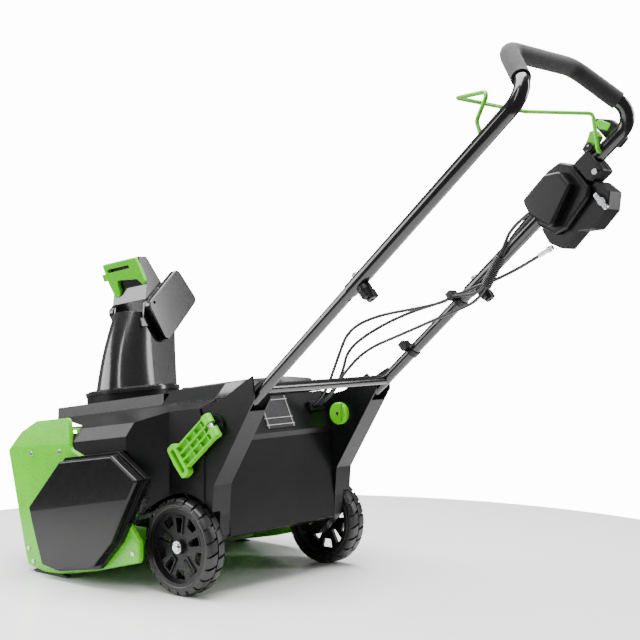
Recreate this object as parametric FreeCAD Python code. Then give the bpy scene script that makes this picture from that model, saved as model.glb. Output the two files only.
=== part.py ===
"""Cordless snow thrower: 22 inch single-stage auger, belt drive, folding handle.

Millimetres.  +Z is up, +X is the operator's left and the auger faces -Y.  The origin is the middle
of the scraper bar's ground edge.
"""
import FreeCAD
import Part
import math
import os

V = FreeCAD.Vector
os.makedirs("parts", exist_ok=True)

# ---- driving dimensions ---------------------------------------------------------------------
CLEARING_WIDTH = 559.0      # between the side panels
PANEL_THICK = 14.0          # moulded side panel, rim to chamber
PANEL_WALL = 3.5            # its thin wall under the covers
COVER_DEPTH = 34.0          # how far the drive cover stands off the panel
WALL = 3.0                  # general moulded wall
GAP = 0.5                   # assembly gap between bolted mouldings
RUN_FIT = 0.05              # radial clearance of a running fit
SLIDE_FIT = 0.4             # clearance of sliding mouldings

AUGER_Y = 26.0              # auger axis
AUGER_Z = 128.0
SCOOP_R = 118.0             # inner radius of the auger chamber
AUGER_R = 111.0             # tip radius of the rubber paddles
AUGER_SHAFT_R = 10.0
AUGER_PULLEY_R = 38.0
MOTOR_Y = 236.0             # motor axis
MOTOR_Z = 196.0
MOTOR_R = 52.0
MOTOR_LENGTH = 130.0
MOTOR_SHAFT_R = 7.0
MOTOR_PULLEY_R = 13.0
BELT_THICK = 5.0
BELT_WIDTH = 14.0

WHEEL_D = 203.0             # 8 inch wheels
WHEEL_WIDTH = 48.0
TRACK = 455.0               # between the wheel centres
AXLE_Y = 370.0
AXLE_R = 6.0
RIM_R = 82.0
HUB_R = 15.0
WELL_GAP = 9.0              # wheel arch to tyre

DECK_TILT = 8.0             # degrees, the deck and the chute lean forward
DECK_Y = -54.0              # chute axis at the ring
DECK_Z = 372.0              # deck plane at the chute axis
RING_TOP_Z = 400.0          # top of the turning ring
RING_R = 114.0
RING_HEIGHT = 9.0
THROAT_R = 90.0
CHUTE_HEIGHT = 190.0
CHUTE_WALL = 3.5
BASE_HALF = 76.0            # half width of the chute at its base
TOP_HALF = 49.0             # and at its top
DEFLECTOR_HALF = 62.0       # half width of the hood
CHEEK_OUT = 78.0            # outer face of the hood's cheeks
DEFLECTOR_X = -27.0         # hood hinge in the chute's frame
HOOD_PIN_R = 4.0
DEFLECTOR_W = 203.0

TOWER_IN = 170.0            # inner face of each tower
TOWER_OUT = 222.0           # outer face
TOWER_SKIN = 4.0
PIVOT_Y = 464.0             # handle fold axis
PIVOT_Z = 360.0
PIVOT_R = 4.0
HANDLE_LEAN = 41.0          # degrees above the horizontal
HANDLE_X = 198.0            # half spacing of the handle tubes
TUBE_DROP = 11.0            # tube axis below the fold axis
LOWER_TUBE_R = 12.5
UPPER_TUBE_R = 14.5
TUBE_WALL = 1.6
CROSS_AT = 134.0            # bar between the lower tubes
CROSS_R = 11.0
LOWER_END = 520.0           # top of the lower tubes, along the handle
UPPER_START = 432.0         # bottom of the upper tube
KNOB_AT = 461.0             # clamp bolts
BEND_AT = 948.0             # where the upper tube turns in
GRIP_HALF = 115.0           # half width of the crossbar
GRIP_Y = 1093.0
GRIP_Z = 1065.0
FOAM_R = 18.5
FOAM_START = 46.0           # foam's end beyond the bend
BEND_R = 42.0               # bends of the upper tube
GRIP_R = 50.0
CLAMP_R = 3.2               # clamp bolts
KNOB_BOLT_LENGTH = 55.0
CABLE_R = 3.5
BAIL_AT = 850.0             # bail axis along the handle
BAIL_OUT = -13.0            # and in front of the fold plane
BAIL_X = 178.0              # bail arms beside the tubes
BAIL_R = 4.0
PADDLE_AT = 840.0           # start paddle's pin
PADDLE_OUT = 13.0
PADDLE_PIN_R = 2.0
CHUTE_LEVER_AT = 882.0      # chute lever's pivot on the right tube
CHUTE_LEVER_OUT = -6.0
LEVER_PIN_R = 4.0
LEVER_FAR = -232.0
LEVER_NEAR = -217.0
BOX_OUTER = -240.0          # the control box on the right tube, its two ends
BOX_INNER = -172.0
POD_INNER = -150.0          # end of the switch pod beside it


# ---- drawing helpers ------------------------------------------------------------------------
def polygon(points, radius=0.0):
    """Closed wire through the points, with every corner rounded to the radius."""
    if radius <= 0:
        return Part.makePolygon(points + [points[0]])
    edges = []
    starts = []
    ends = []
    count = len(points)
    for i, corner in enumerate(points):
        before = (points[i - 1] - corner)
        after = (points[(i + 1) % count] - corner)
        half = before.getAngle(after) / 2
        reach = min(radius / math.tan(half), 0.45 * before.Length, 0.45 * after.Length)
        before.normalize()
        after.normalize()
        first = corner + before * reach
        last = corner + after * reach
        bisector = (before + after).normalize()
        arc_r = reach * math.tan(half)
        middle = corner + bisector * (arc_r / math.sin(half) - arc_r)
        edges.append(Part.Arc(first, middle, last).toShape())
        starts.append(first)
        ends.append(last)
    loop = []
    for i in range(count):
        loop.append(edges[i])
        loop.append(Part.makeLine(ends[i], starts[(i + 1) % count]))
    return Part.Wire(loop)


def side_prism(points, x0, x1, radius=0.0):
    """Extrude a (y, z) outline from x0 to x1."""
    wire = polygon([V(x0, y, z) for y, z in points], radius)
    return Part.Face(wire).extrude(V(x1 - x0, 0, 0))


def front_prism(points, y0, y1, radius=0.0):
    """Extrude an (x, z) outline from y0 to y1."""
    wire = polygon([V(x, y0, z) for x, z in points], radius)
    return Part.Face(wire).extrude(V(0, y1 - y0, 0))


def plan_prism(points, z0, z1, radius=0.0):
    """Extrude an (x, y) outline from z0 to z1."""
    wire = polygon([V(x, y, z0) for x, y in points], radius)
    return Part.Face(wire).extrude(V(0, 0, z1 - z0))


def inset(points, distance):
    """The same outline moved inwards by a distance (outwards when negative)."""
    count = len(points)
    area = sum(points[i - 1][0] * p[1] - p[0] * points[i - 1][1] for i, p in enumerate(points))
    turn = 1 if area > 0 else -1
    lines = []
    for i, p in enumerate(points):
        q = points[(i + 1) % count]
        dx, dy = q[0] - p[0], q[1] - p[1]
        length = math.hypot(dx, dy)
        nx, ny = -dy / length * turn, dx / length * turn
        lines.append((p[0] + nx * distance, p[1] + ny * distance, dx / length, dy / length))
    moved = []
    for i in range(count):
        ax, ay, adx, ady = lines[i - 1]
        bx, by, bdx, bdy = lines[i]
        cross = adx * bdy - ady * bdx
        t = ((bx - ax) * bdy - (by - ay) * bdx) / cross
        moved.append((ax + adx * t, ay + ady * t))
    return moved


def box(x0, x1, y0, y1, z0, z1):
    return Part.makeBox(x1 - x0, y1 - y0, z1 - z0, V(x0, y0, z0))


def rod(start, end, radius):
    return Part.makeCylinder(radius, (end - start).Length, start, end - start)


def disc_x(x0, x1, y, z, radius):
    """A round bar along X."""
    return Part.makeCylinder(radius, x1 - x0, V(x0, y, z), V(1, 0, 0))


def pipe(start, end, outer, inner):
    return rod(start, end, outer).cut(rod(start, end, inner))


def rounded_path(points, radii):
    """Straight runs joined by tangent arcs, one radius for each inner point."""
    edges = []
    last = points[0]
    for i in range(1, len(points) - 1):
        corner = points[i]
        before = (points[i - 1] - corner)
        after = (points[i + 1] - corner)
        half = before.getAngle(after) / 2
        reach = radii[i - 1] / math.tan(half)
        before.normalize()
        after.normalize()
        first = corner + before * reach
        end = corner + after * reach
        bisector = (before + after).normalize()
        middle = corner + bisector * (radii[i - 1] / math.sin(half) - radii[i - 1])
        edges.append(Part.makeLine(last, first))
        edges.append(Part.Arc(first, middle, end).toShape())
        last = end
    edges.append(Part.makeLine(last, points[-1]))
    return Part.Wire(edges)


def sweep(path, radius):
    """A round solid along a path."""
    start = path.Edges[0].valueAt(path.Edges[0].FirstParameter)
    tangent = path.Edges[0].tangentAt(path.Edges[0].FirstParameter)
    ring = Part.Wire([Part.makeCircle(radius, start, tangent)])
    return path.makePipeShell([ring], True, False)


def mirrored(shape):
    return shape.mirror(V(0, 0, 0), V(1, 0, 0))


def both(shape):
    return [shape, mirrored(shape)]


def soften(shape, radius, wanted):
    """Fillet the edges that the test picks."""
    return shape.makeFillet(radius, [edge for edge in shape.Edges if wanted(edge)])


def edge_at(edge, axis, value):
    """True when every point of the edge has this coordinate."""
    spread = [vertex.Point[axis] for vertex in edge.Vertexes]
    spread.append(edge.CenterOfMass[axis])
    return all(abs(found - value) < 0.01 for found in spread)


def turned(shape, centre, axis, degrees):
    moved = shape.copy()
    moved.rotate(centre, axis, degrees)
    return moved


def on_deck(shape):
    """Place a shape drawn on a level deck plane with the chute axis at the origin."""
    moved = turned(shape, V(0, 0, 0), V(1, 0, 0), DECK_TILT)
    moved.translate(V(0, DECK_Y, DECK_Z))
    return moved


def on_chute(shape):
    """Place a shape drawn about the chute's own axis, with the ring's top at zero."""
    moved = turned(shape, V(0, 0, 0), V(1, 0, 0), DECK_TILT)
    moved.translate(V(0, DECK_Y, RING_TOP_Z))
    return moved


def on_handle(shape):
    """Place a shape drawn with Y along the handle, Z out of its front, and the fold axis at zero."""
    moved = turned(shape, V(0, 0, 0), V(1, 0, 0), HANDLE_LEAN)
    moved.translate(V(0, PIVOT_Y, PIVOT_Z))
    return moved


def handle_point(x, along, out):
    """A point of the handle's own frame in the row frame."""
    lean = math.radians(HANDLE_LEAN)
    return V(x, PIVOT_Y + along * math.cos(lean) - out * math.sin(lean),
             PIVOT_Z + along * math.sin(lean) + out * math.cos(lean))


def save(name, shapes):
    if not isinstance(shapes, list):
        shapes = [shapes]
    solids = []
    for shape in shapes:
        solids += shape.Solids
    kept = solids[0] if len(solids) == 1 else Part.makeCompound(solids)
    kept.exportStep("parts/%s.step" % name)
    print("%-22s %2d solids %9.1f cm3" % (name, len(solids), kept.Volume / 1000))


# ---- derived places -------------------------------------------------------------------------
PANEL_IN = CLEARING_WIDTH / 2
PANEL_OUT = PANEL_IN + PANEL_THICK
COVER_OUT = PANEL_OUT + COVER_DEPTH
WHEEL_R = WHEEL_D / 2
WHEEL_X = TRACK / 2
AXLE_Z = WHEEL_R
WELL_R = WHEEL_R + WELL_GAP
WELL_X = WHEEL_X - WHEEL_WIDTH / 2 - 5.0
DRIVE_X = PANEL_OUT + 6.0                   # belt's inner edge
TUBE_OUT = -TUBE_DROP                       # tube axis in the handle's frame


# ---- side panels ----------------------------------------------------------------------------
PANEL_OUTLINE = [(-81.0, 13.0), (-96.0, 57.0), (-155.0, 270.0), (-107.0, 315.0), (-51.0, 343.0),
                 (62.0, 357.0), (78.0, 290.0), (205.0, 250.0), (262.0, 150.0), (300.0, 108.0),
                 (300.0, 66.0), (160.0, 30.0), (40.0, 6.0), (-20.0, 3.0)]
COVER_OUTLINE = [(6.0, 24.0), (-41.0, 155.0), (74.0, 271.0), (252.0, 298.0), (342.0, 247.0),
                 (255.0, 104.0), (188.0, 40.0), (52.0, 18.0)]


PANEL_CREASE = [(-155.0, 275.0), (62.0, 300.0)]      # above it the panel's face leans inwards
PANEL_FACET_RISE = 0.1      # lean of that facet, across for each mm up
COVER_CREASE = [(52.0, 159.0), (272.0, 199.0)]       # below it the cover's face leans inwards
COVER_FACET_RISE = 0.045


def facet(face_x, crease, lean, reach):
    """Wedge outside a leaning facet of an outer face, on the side of its crease that reach points to."""
    (y0, z0), (y1, z1) = crease
    wedge = front_prism([(face_x, 0.0), (face_x + 40.0, 0.0), (face_x + 40.0, reach),
                         (face_x - lean * abs(reach), reach)], -400, 400)
    wedge = turned(wedge, V(0, 0, 0), V(1, 0, 0), math.degrees(math.atan2(z1 - z0, y1 - y0)))
    wedge.translate(V(0, y0, z0))
    return wedge


def side_panel():
    """Left panel: a thick rounded rim with a thin wall under the cover."""
    plate = side_prism(PANEL_OUTLINE, PANEL_IN, PANEL_OUT, 12.0)
    plate = soften(plate, 6.0, lambda edge: edge_at(edge, 0, PANEL_OUT))
    plate = plate.cut(facet(PANEL_OUT, PANEL_CREASE, PANEL_FACET_RISE, 120.0))
    pocket = side_prism(inset(PANEL_OUTLINE, 26.0), PANEL_IN + PANEL_WALL, PANEL_OUT + 1)
    under_cover = side_prism(inset(COVER_OUTLINE, 12.0), PANEL_IN, PANEL_OUT + 1)
    plate = plate.cut(pocket.common(under_cover))
    plate = plate.cut(disc_x(PANEL_IN - 1, PANEL_OUT + 1, AUGER_Y, AUGER_Z, BEARING_R))
    return plate.cut(disc_x(PANEL_IN - 1, PANEL_OUT + 1, MOTOR_Y, MOTOR_Z, MOTOR_NOSE_R + GAP))


BEARING_R = 19.0            # auger bearing's seat in the panel
MOTOR_NOSE_R = 16.0         # motor's nose through the left panel
SCREW_SPOTS = [(-63.0, 268.0), (-75.0, 52.0), (-58.0, 24.0), (283.0, 84.0), (38.0, 280.0)]
SCREW_R = 2.5
left_panel = side_panel()
screws = []
for y, z in SCREW_SPOTS:
    shank = disc_x(PANEL_IN + PANEL_WALL, PANEL_OUT + 1.0, y, z, SCREW_R)
    left_panel = left_panel.cut(shank)
    head = soften(disc_x(PANEL_OUT, PANEL_OUT + 2.6, y, z, 5.5), 1.2, lambda edge: edge_at(edge, 0, PANEL_OUT + 2.6))
    recess = box(PANEL_OUT + 1.4, PANEL_OUT + 3, y - 0.7, y + 0.7, z - 3, z + 3)
    screws.append(shank.fuse(head).removeSplitter().cut(recess))
save("side_panel_left", left_panel)
save("side_panel_right", mirrored(left_panel))
save("housing_screws", [screw for one in screws for screw in both(one)])


def side_cover():
    """Left drive cover: a chamfered shell over the belt, open towards the panel."""
    base = side_prism(COVER_OUTLINE, PANEL_OUT, PANEL_OUT + 14.0, 8.0)
    face = side_prism(inset(COVER_OUTLINE, 7.0), PANEL_OUT, COVER_OUT, 6.0)
    solid = base.fuse(face).removeSplitter()
    solid = soften(solid, 5.0, lambda edge: edge_at(edge, 0, COVER_OUT))
    solid = solid.cut(facet(COVER_OUT, COVER_CREASE, COVER_FACET_RISE, -260.0))
    hollow = side_prism(inset(COVER_OUTLINE, 7.0 + WALL), PANEL_OUT - 1, COVER_OUT - WALL, 4.0)
    return solid.cut(hollow.cut(facet(COVER_OUT - WALL, COVER_CREASE, COVER_FACET_RISE, -260.0)))


cover = side_cover()
save("drive_cover", cover)
save("side_cover_right", mirrored(cover))


# ---- auger chamber --------------------------------------------------------------------------
def scoop():
    """Curved chamber wall from the scraper up behind the auger to the throat and the front lip."""
    rise = math.radians(20.0)
    centre_y, centre_z = AUGER_Y, AUGER_Z
    walls = []
    for offset in (0.0, WALL):
        radius = SCOOP_R + offset
        low = V(0, centre_y, centre_z - radius)
        rear = V(0, centre_y + radius * math.cos(math.radians(-35.0)),
                 centre_z + radius * math.sin(math.radians(-35.0)))
        leave = V(0, centre_y + radius * math.cos(rise), centre_z + radius * math.sin(rise))
        run = (SCOOP_TOP - leave.z) / math.cos(rise)
        top = V(0, leave.y - run * math.sin(rise), SCOOP_TOP + offset)
        walls.append((low, rear, leave, top))
    inner, outer = walls
    lip_in = V(0, LIP_Y, LIP_Z)
    lip_out = V(0, LIP_Y, LIP_Z + WALL)
    floor_in = V(0, -SCRAPER_DEPTH / 2, inner[0].z)
    floor_out = V(0, -SCRAPER_DEPTH / 2, outer[0].z)
    edges = [Part.Arc(inner[0], inner[1], inner[2]).toShape(), Part.makeLine(inner[2], inner[3]),
             Part.makeLine(inner[3], lip_in), Part.makeLine(lip_in, lip_out),
             Part.makeLine(lip_out, outer[3]), Part.makeLine(outer[3], outer[2]),
             Part.Arc(outer[2], outer[1], outer[0]).toShape(), Part.makeLine(outer[0], floor_out),
             Part.makeLine(floor_out, floor_in), Part.makeLine(floor_in, inner[0])]
    face = Part.Face(Part.Wire(edges))
    face.translate(V(-PANEL_IN + SCOOP_END, 0, 0))
    shell = face.extrude(V(2 * (PANEL_IN - SCOOP_END), 0, 0))
    throat = on_chute(Part.makeCylinder(THROAT_R, 200, V(0, 0, -160)))
    return shell.cut(throat)


SCOOP_TOP = 330.0
SCOOP_END = 0.2             # chamber wall stops just short of the panels
LIP_Y = -112.0
LIP_Z = 312.0
SCRAPER_DEPTH = 34.0
save("auger_housing", scoop())

SCRAPER_LENGTH = CLEARING_WIDTH - 2.0
SCRAPER_THICK = AUGER_Z - SCOOP_R - WALL - GAP / 2
scraper = box(-SCRAPER_LENGTH / 2, SCRAPER_LENGTH / 2, -SCRAPER_DEPTH / 2, SCRAPER_DEPTH / 2, 0, SCRAPER_THICK)
scraper = scraper.cut(side_prism([(-SCRAPER_DEPTH / 2 - 1, 2.0), (-SCRAPER_DEPTH / 2 - 1, 9.0), (-2.0, 9.0)],
                                 -400, 400))
save("scraper_bar", scraper)


def skid():
    """Left skid: a black strip that wraps the panel's front bottom corner."""
    runner = side_prism([(-60.0, 4.0), (-50.0, 0.0), (30.0, 0.0), (60.0, 3.0), (60.0, 5.6), (-60.0, 5.6)],
                        PANEL_IN + 1.0, PANEL_OUT - 1.0)
    return runner.cut(side_prism(PANEL_OUTLINE, PANEL_IN, PANEL_OUT, 12.0))


save("skid_strips", both(skid()))


# ---- auger ----------------------------------------------------------------------------------
def auger_bearing():
    """Left flanged bush in the side panel."""
    flange = disc_x(PANEL_IN - 3.0, PANEL_IN, AUGER_Y, AUGER_Z, BEARING_R + 5.0)
    sleeve = disc_x(PANEL_IN - 3.0, PANEL_IN + PANEL_WALL + 8.0, AUGER_Y, AUGER_Z, BEARING_R)
    bore = disc_x(PANEL_IN - 4.0, PANEL_OUT + 9.0, AUGER_Y, AUGER_Z, AUGER_SHAFT_R + RUN_FIT)
    return flange.fuse(sleeve).cut(bore).removeSplitter()


save("auger_bearings", both(auger_bearing()))

SHAFT_LEFT = DRIVE_X + BELT_WIDTH + 4.0
SHAFT_RIGHT = -(PANEL_IN + PANEL_WALL + 9.0)
save("auger_shaft", disc_x(SHAFT_RIGHT, SHAFT_LEFT, AUGER_Y, AUGER_Z, AUGER_SHAFT_R))


def paddle_set():
    """Two rubber paddles that wind inwards from each end, and the throwing blades in the middle."""
    core_r = AUGER_SHAFT_R + 9.0
    core_half = PANEL_IN - 12.0
    core = disc_x(-core_half, core_half, AUGER_Y, AUGER_Z, core_r)
    solids = core
    slices = 7
    step = (core_half - MIDDLE_HALF) / slices
    for phase in (0.0, 180.0):
        blade = box(-MIDDLE_HALF, MIDDLE_HALF, AUGER_Y - PADDLE_THICK / 2, AUGER_Y + PADDLE_THICK / 2,
                    AUGER_Z + core_r - 3.0, AUGER_Z + AUGER_R)
        solids = solids.fuse(turned(blade, V(0, AUGER_Y, AUGER_Z), V(1, 0, 0), phase))
        for side in (-1, 1):
            profile = []
            for i in range(slices + 1):
                x = side * (MIDDLE_HALF + i * step)
                turn = math.radians(phase + i * PADDLE_TWIST / slices)
                points = []
                for r, t in ((core_r - 3.0, -1), (AUGER_R, -1), (AUGER_R, 1), (core_r - 3.0, 1)):
                    y = t * PADDLE_THICK / 2
                    points.append(V(x, AUGER_Y + y * math.cos(turn) - r * math.sin(turn),
                                    AUGER_Z + y * math.sin(turn) + r * math.cos(turn)))
                profile.append(polygon(points))
            solids = solids.fuse(Part.makeLoft(profile, True, True))
    round_off = disc_x(-core_half, core_half, AUGER_Y, AUGER_Z, AUGER_R)
    solids = solids.common(round_off)
    return solids.cut(disc_x(-400, 400, AUGER_Y, AUGER_Z, AUGER_SHAFT_R))


MIDDLE_HALF = 70.0          # half width of the throwing blades
PADDLE_THICK = 8.0
PADDLE_TWIST = 130.0        # degrees from the middle to each end
save("auger_paddles", paddle_set())


def pulley(y, z, rim_r, bore_r):
    """A flanged flat-rim pulley, hollowed between hub and rim when it is large."""
    x0 = DRIVE_X - 2.0
    x1 = DRIVE_X + BELT_WIDTH + 2.0
    wheel = disc_x(x0, x1, y, z, rim_r - BELT_GAP)
    for at in (x0, x1 - 1.6):
        wheel = wheel.fuse(disc_x(at, at + 1.6, y, z, rim_r + BELT_THICK - 1.5))
    if rim_r > 40.0:
        for side, at in ((0, x0 - 1), (1, DRIVE_X + BELT_WIDTH / 2 + 2.0)):
            ring = disc_x(at, at + BELT_WIDTH / 2 + 2.0, y, z, rim_r - 8.0)
            wheel = wheel.cut(ring.cut(disc_x(at, at + 30, y, z, bore_r + 9.0)))
    return wheel.cut(disc_x(x0 - 1, x1 + 1, y, z, bore_r)).removeSplitter()


BELT_GAP = 0.4              # belt clears the pulley's land so that each can turn
save("auger_pulley", pulley(AUGER_Y, AUGER_Z, AUGER_PULLEY_R, AUGER_SHAFT_R))


def belt_outline(extra):
    """Closed belt line at a distance outside the pulley rims."""
    dy = MOTOR_Y - AUGER_Y
    dz = MOTOR_Z - AUGER_Z
    span = math.hypot(dy, dz)
    big = AUGER_PULLEY_R + extra
    small = MOTOR_PULLEY_R + extra
    heading = math.atan2(dz, dy)
    spread = math.acos((big - small) / span)
    ends = []
    for sign in (1, -1):
        angle = heading + sign * spread
        ends.append((V(0, AUGER_Y + big * math.cos(angle), AUGER_Z + big * math.sin(angle)),
                     V(0, MOTOR_Y + small * math.cos(angle), MOTOR_Z + small * math.sin(angle))))
    back = V(0, AUGER_Y - big * math.cos(heading), AUGER_Z - big * math.sin(heading))
    front = V(0, MOTOR_Y + small * math.cos(heading), MOTOR_Z + small * math.sin(heading))
    return Part.Wire([Part.makeLine(ends[0][0], ends[0][1]), Part.Arc(ends[0][1], front, ends[1][1]).toShape(),
                      Part.makeLine(ends[1][1], ends[1][0]), Part.Arc(ends[1][0], back, ends[0][0]).toShape()])


belt = Part.Face(belt_outline(BELT_THICK)).extrude(V(BELT_WIDTH, 0, 0))
belt = belt.cut(Part.Face(belt_outline(0.0)).extrude(V(BELT_WIDTH, 0, 0)))
belt.translate(V(DRIVE_X, 0, 0))
flanges = []
for y, z, rim_r in ((AUGER_Y, AUGER_Z, AUGER_PULLEY_R), (MOTOR_Y, MOTOR_Z, MOTOR_PULLEY_R)):
    for at in (DRIVE_X - 2.0, DRIVE_X + BELT_WIDTH + 0.4):
        flanges.append(disc_x(at - 0.3, at + 1.9, y, z, rim_r + BELT_THICK))
for flange in flanges:
    belt = belt.cut(flange)
save("drive_belt", belt)

# ---- motor ----------------------------------------------------------------------------------
can_end = PANEL_IN - 6.0
can = disc_x(can_end - MOTOR_LENGTH, can_end, MOTOR_Y, MOTOR_Z, MOTOR_R)
can = soften(can, 6.0, lambda edge: edge_at(edge, 0, can_end - MOTOR_LENGTH))
can = can.fuse(disc_x(can_end - 1, PANEL_OUT, MOTOR_Y, MOTOR_Z, MOTOR_NOSE_R)).removeSplitter()
can = can.cut(disc_x(can_end - 70, PANEL_OUT + 1, MOTOR_Y, MOTOR_Z, MOTOR_SHAFT_R + RUN_FIT))
save("motor", can)
rotor = disc_x(can_end - 69.0, SHAFT_LEFT, MOTOR_Y, MOTOR_Z, MOTOR_SHAFT_R)
rotor = rotor.fuse(pulley(MOTOR_Y, MOTOR_Z, MOTOR_PULLEY_R, MOTOR_SHAFT_R)).removeSplitter()
save("motor_rotor", rotor)
save("motor_controller", box(-120.0, 40.0, 190.0, 300.0, 150.0, 192.0))

# ---- body shroud ----------------------------------------------------------------------------
BELLY_Y = AUGER_Y + SCOOP_R + WALL + 1.0    # the shroud and the belly start behind the chamber
DECK_PROFILE = [(150.0, 0.0), (154.0, -25.0), (172.0, -27.0), (276.0, -58.0), (288.0, -86.0), (288.0, -330.0)]
SHROUD_SIDE = [(-180.0, 332.0), (-180.0, 480.0), (404.0, 480.0), (404.0, 411.0), (442.0, 330.0),
               (436.0, 318.0), (448.0, 124.0), (420.0, 112.0), (BELLY_Y, 112.0), (BELLY_Y, 172.0),
               (86.0, 337.0), (-60.0, 337.0), (-112.0, 320.0)]
SHROUD_PLAN = [(90.0, -178.0), (150.0, -152.0), (215.0, -88.0), (278.5, -66.0), (278.5, 50.0),
               (288.0, 58.0), (288.0, 255.0), (226.0, 322.0), (226.0, 425.0), (169.0, 450.0)]
CHEEK_SIDE = [(52.0, 362.0), (104.0, 362.0), (124.0, 262.0), (66.0, 262.0)]     # cheeks that close the chamber's end
LID_FRONT = 222.0           # battery lid, along the machine
LID_REAR = 402.0
LID_HALF = 171.0
RIM_DROP = 27.0             # lid rim below the deck
BAY_HALF = 77.0             # half width of the battery bay
BAY_LENGTH = 134.0
BAY_DEPTH = 122.0
slope = math.cos(math.radians(DECK_TILT))
LID_V0 = (LID_FRONT - DECK_Y) / slope       # the same places along the tilted deck
LID_V1 = (LID_REAR - DECK_Y) / slope
BAY_V0 = LID_V0 + 22.0
HINGE_V = LID_V0 + 2.0
HINGE_N = 6.0


def two_sided(half):
    """Outline mirrored about the mid-plane from its positive half."""
    return half + [(-a, b) for a, b in reversed(half)]


def shroud_block(wall):
    """The shroud's outside, or with a wall its inside, which runs out through the open bottom."""
    profile = two_sided(inset_half(DECK_PROFILE, wall))
    across = on_deck(front_prism(profile, -160, 620))
    plan = plan_prism(two_sided(inset_half(SHROUD_PLAN, wall)), 0, 600)
    rim = on_deck(box(-LID_HALF - 1.5 - wall, LID_HALF + 1.5 + wall, LID_V0 - wall, 640, -RIM_DROP - wall, 80))
    return across.common(plan).cut(rim)


def inset_half(half, wall):
    """Inset the mirrored outline and return its positive half."""
    if wall == 0:
        return half
    moved = inset(two_sided(half), wall)
    return moved[:len(half)]


def tower_outline(grow):
    """Side frame outline around the fold axis, the tube and the axle."""
    outline = [(562.0, 466.0), (545.0, 457.0), (476.0, 414.0), (425.0, 400.0), (396.0, 380.0), (345.0, 215.0),
               (AXLE_Y - 32.0, AXLE_Z - 12.0), (AXLE_Y - 20.0, AXLE_Z - 25.0), (AXLE_Y + 24.0, AXLE_Z - 25.0),
               (446.0, 128.0), (447.0, 172.0), (452.0, 235.0), (567.0, 419.0)]
    return inset(outline, -grow) if grow else outline


def shroud():
    outer = shroud_block(0).common(side_prism(SHROUD_SIDE, -300, 300))
    for cheek in both(side_prism(CHEEK_SIDE, PANEL_IN + SCOOP_END, 300)):
        outer = outer.fuse(shroud_block(0).common(cheek))
    cavity = shroud_block(WALL).common(side_prism([(-180.0 + 1.5 * WALL, 200.0), (-180.0 + 1.5 * WALL, 480.0),
                                                   (404.0, 480.0), (460.0, 411.0), (460.0, 60.0),
                                                   (60.0, 60.0), (60.0, 200.0)], -300, 300))
    shell = outer.cut(cavity)
    shell = shell.cut(box(-TOWER_IN + GAP, TOWER_IN - GAP, 300, 470, 60, 409))
    shell = shell.cut(on_deck(box(-BAY_HALF, BAY_HALF, BAY_V0, BAY_V0 + BAY_LENGTH, -60, 10)))
    shell = shell.cut(on_deck(Part.makeCylinder(THROAT_R + 8.0, 90, V(0, 0, -40))))
    for side in (side_prism(inset(PANEL_OUTLINE, -GAP), PANEL_IN - GAP, 400, 12.0),
                 side_prism(inset(COVER_OUTLINE, -GAP), PANEL_IN + 4.0, 400),
                 side_prism(tower_outline(GAP), TOWER_IN - GAP, TOWER_OUT + GAP),
                 disc_x(TOWER_IN, 400, AXLE_Y, AXLE_Z, WELL_R),
                 disc_x(TOWER_IN, 300, MOTOR_Y, MOTOR_Z, MOTOR_R + GAP)):
        shell = shell.cut(side).cut(mirrored(side))
    ear = on_deck(box(60, 72, HINGE_V - 7, HINGE_V + 3, -1, HINGE_N + 4))
    pin = on_deck(disc_x(41, 91, HINGE_V, HINGE_N, 2.0))
    for part in both(ear) + both(pin):
        shell = shell.fuse(part)
    shell = shell.fuse(on_deck(battery_bay())).removeSplitter()
    return max(shell.Solids, key=lambda solid: solid.Volume)


def battery_bay():
    """Open box under the deck that the battery slides into."""
    floor = -RIM_DROP - BAY_DEPTH
    outside = box(-BAY_HALF - WALL, BAY_HALF + WALL, BAY_V0 - WALL, BAY_V0 + BAY_LENGTH + WALL,
                  floor - WALL, -RIM_DROP - WALL)
    return outside.cut(box(-BAY_HALF, BAY_HALF, BAY_V0, BAY_V0 + BAY_LENGTH, floor, 0))


save("body_shroud", shroud())


def rear_cover():
    """Rear wall and belly between the towers, one bent sheet of moulding."""
    line = [(404.0, 411.0), (442.0, 330.0), (436.0, 318.0), (448.0, 124.0), (420.0, 112.0), (BELLY_Y + 2, 112.0)]
    inner = [(BELLY_Y + 2, 115.0), (419.0, 115.0), (445.0, 125.5), (433.0, 318.5), (438.6, 330.0), (401.0, 410.0)]
    sheet = side_prism(line + inner, -TOWER_IN + 2 * GAP, TOWER_IN - 2 * GAP)
    sheet = sheet.cut(on_deck(box(-LID_HALF - 1, LID_HALF + 1, LID_V0, LID_V1 + 0.8, -RIM_DROP - 0.8, 60)))
    hole = rod(GLAND_AT - GLAND_OUT * 10, GLAND_AT + GLAND_OUT * 10, CABLE_R + 0.1)
    for offset in (-12, 0, 12):
        shifted = hole.copy()
        shifted.translate(V(offset, 0, 0))
        sheet = sheet.cut(shifted)
    return sheet


GLAND_OUT = V(0, 0.9053, 0.4247)            # square to the slanted rear face
GLAND_AT = V(-124.0, 420.9, 375.0)          # middle of the cable gland, on that face
save("rear_cover", rear_cover())

gland = box(-22, 22, -11, 11, 0.1, 14)
gland = soften(gland, 5.0, lambda edge: edge_at(edge, 2, 14))
for offset in (-12, 0, 12):
    gland = gland.cut(Part.makeCylinder(CABLE_R + 0.1, 20, V(offset, 0, -1)))
gland = turned(gland, V(0, 0, 0), V(1, 0, 0), -math.degrees(math.acos(GLAND_OUT.z)))
gland.translate(GLAND_AT)
save("cable_gland", gland)

plate = side_prism([(407.5, 405.0), (438.5, 339.0), (439.4, 339.5), (408.4, 405.5)], -45, 45)
save("rating_plate", plate)

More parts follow.
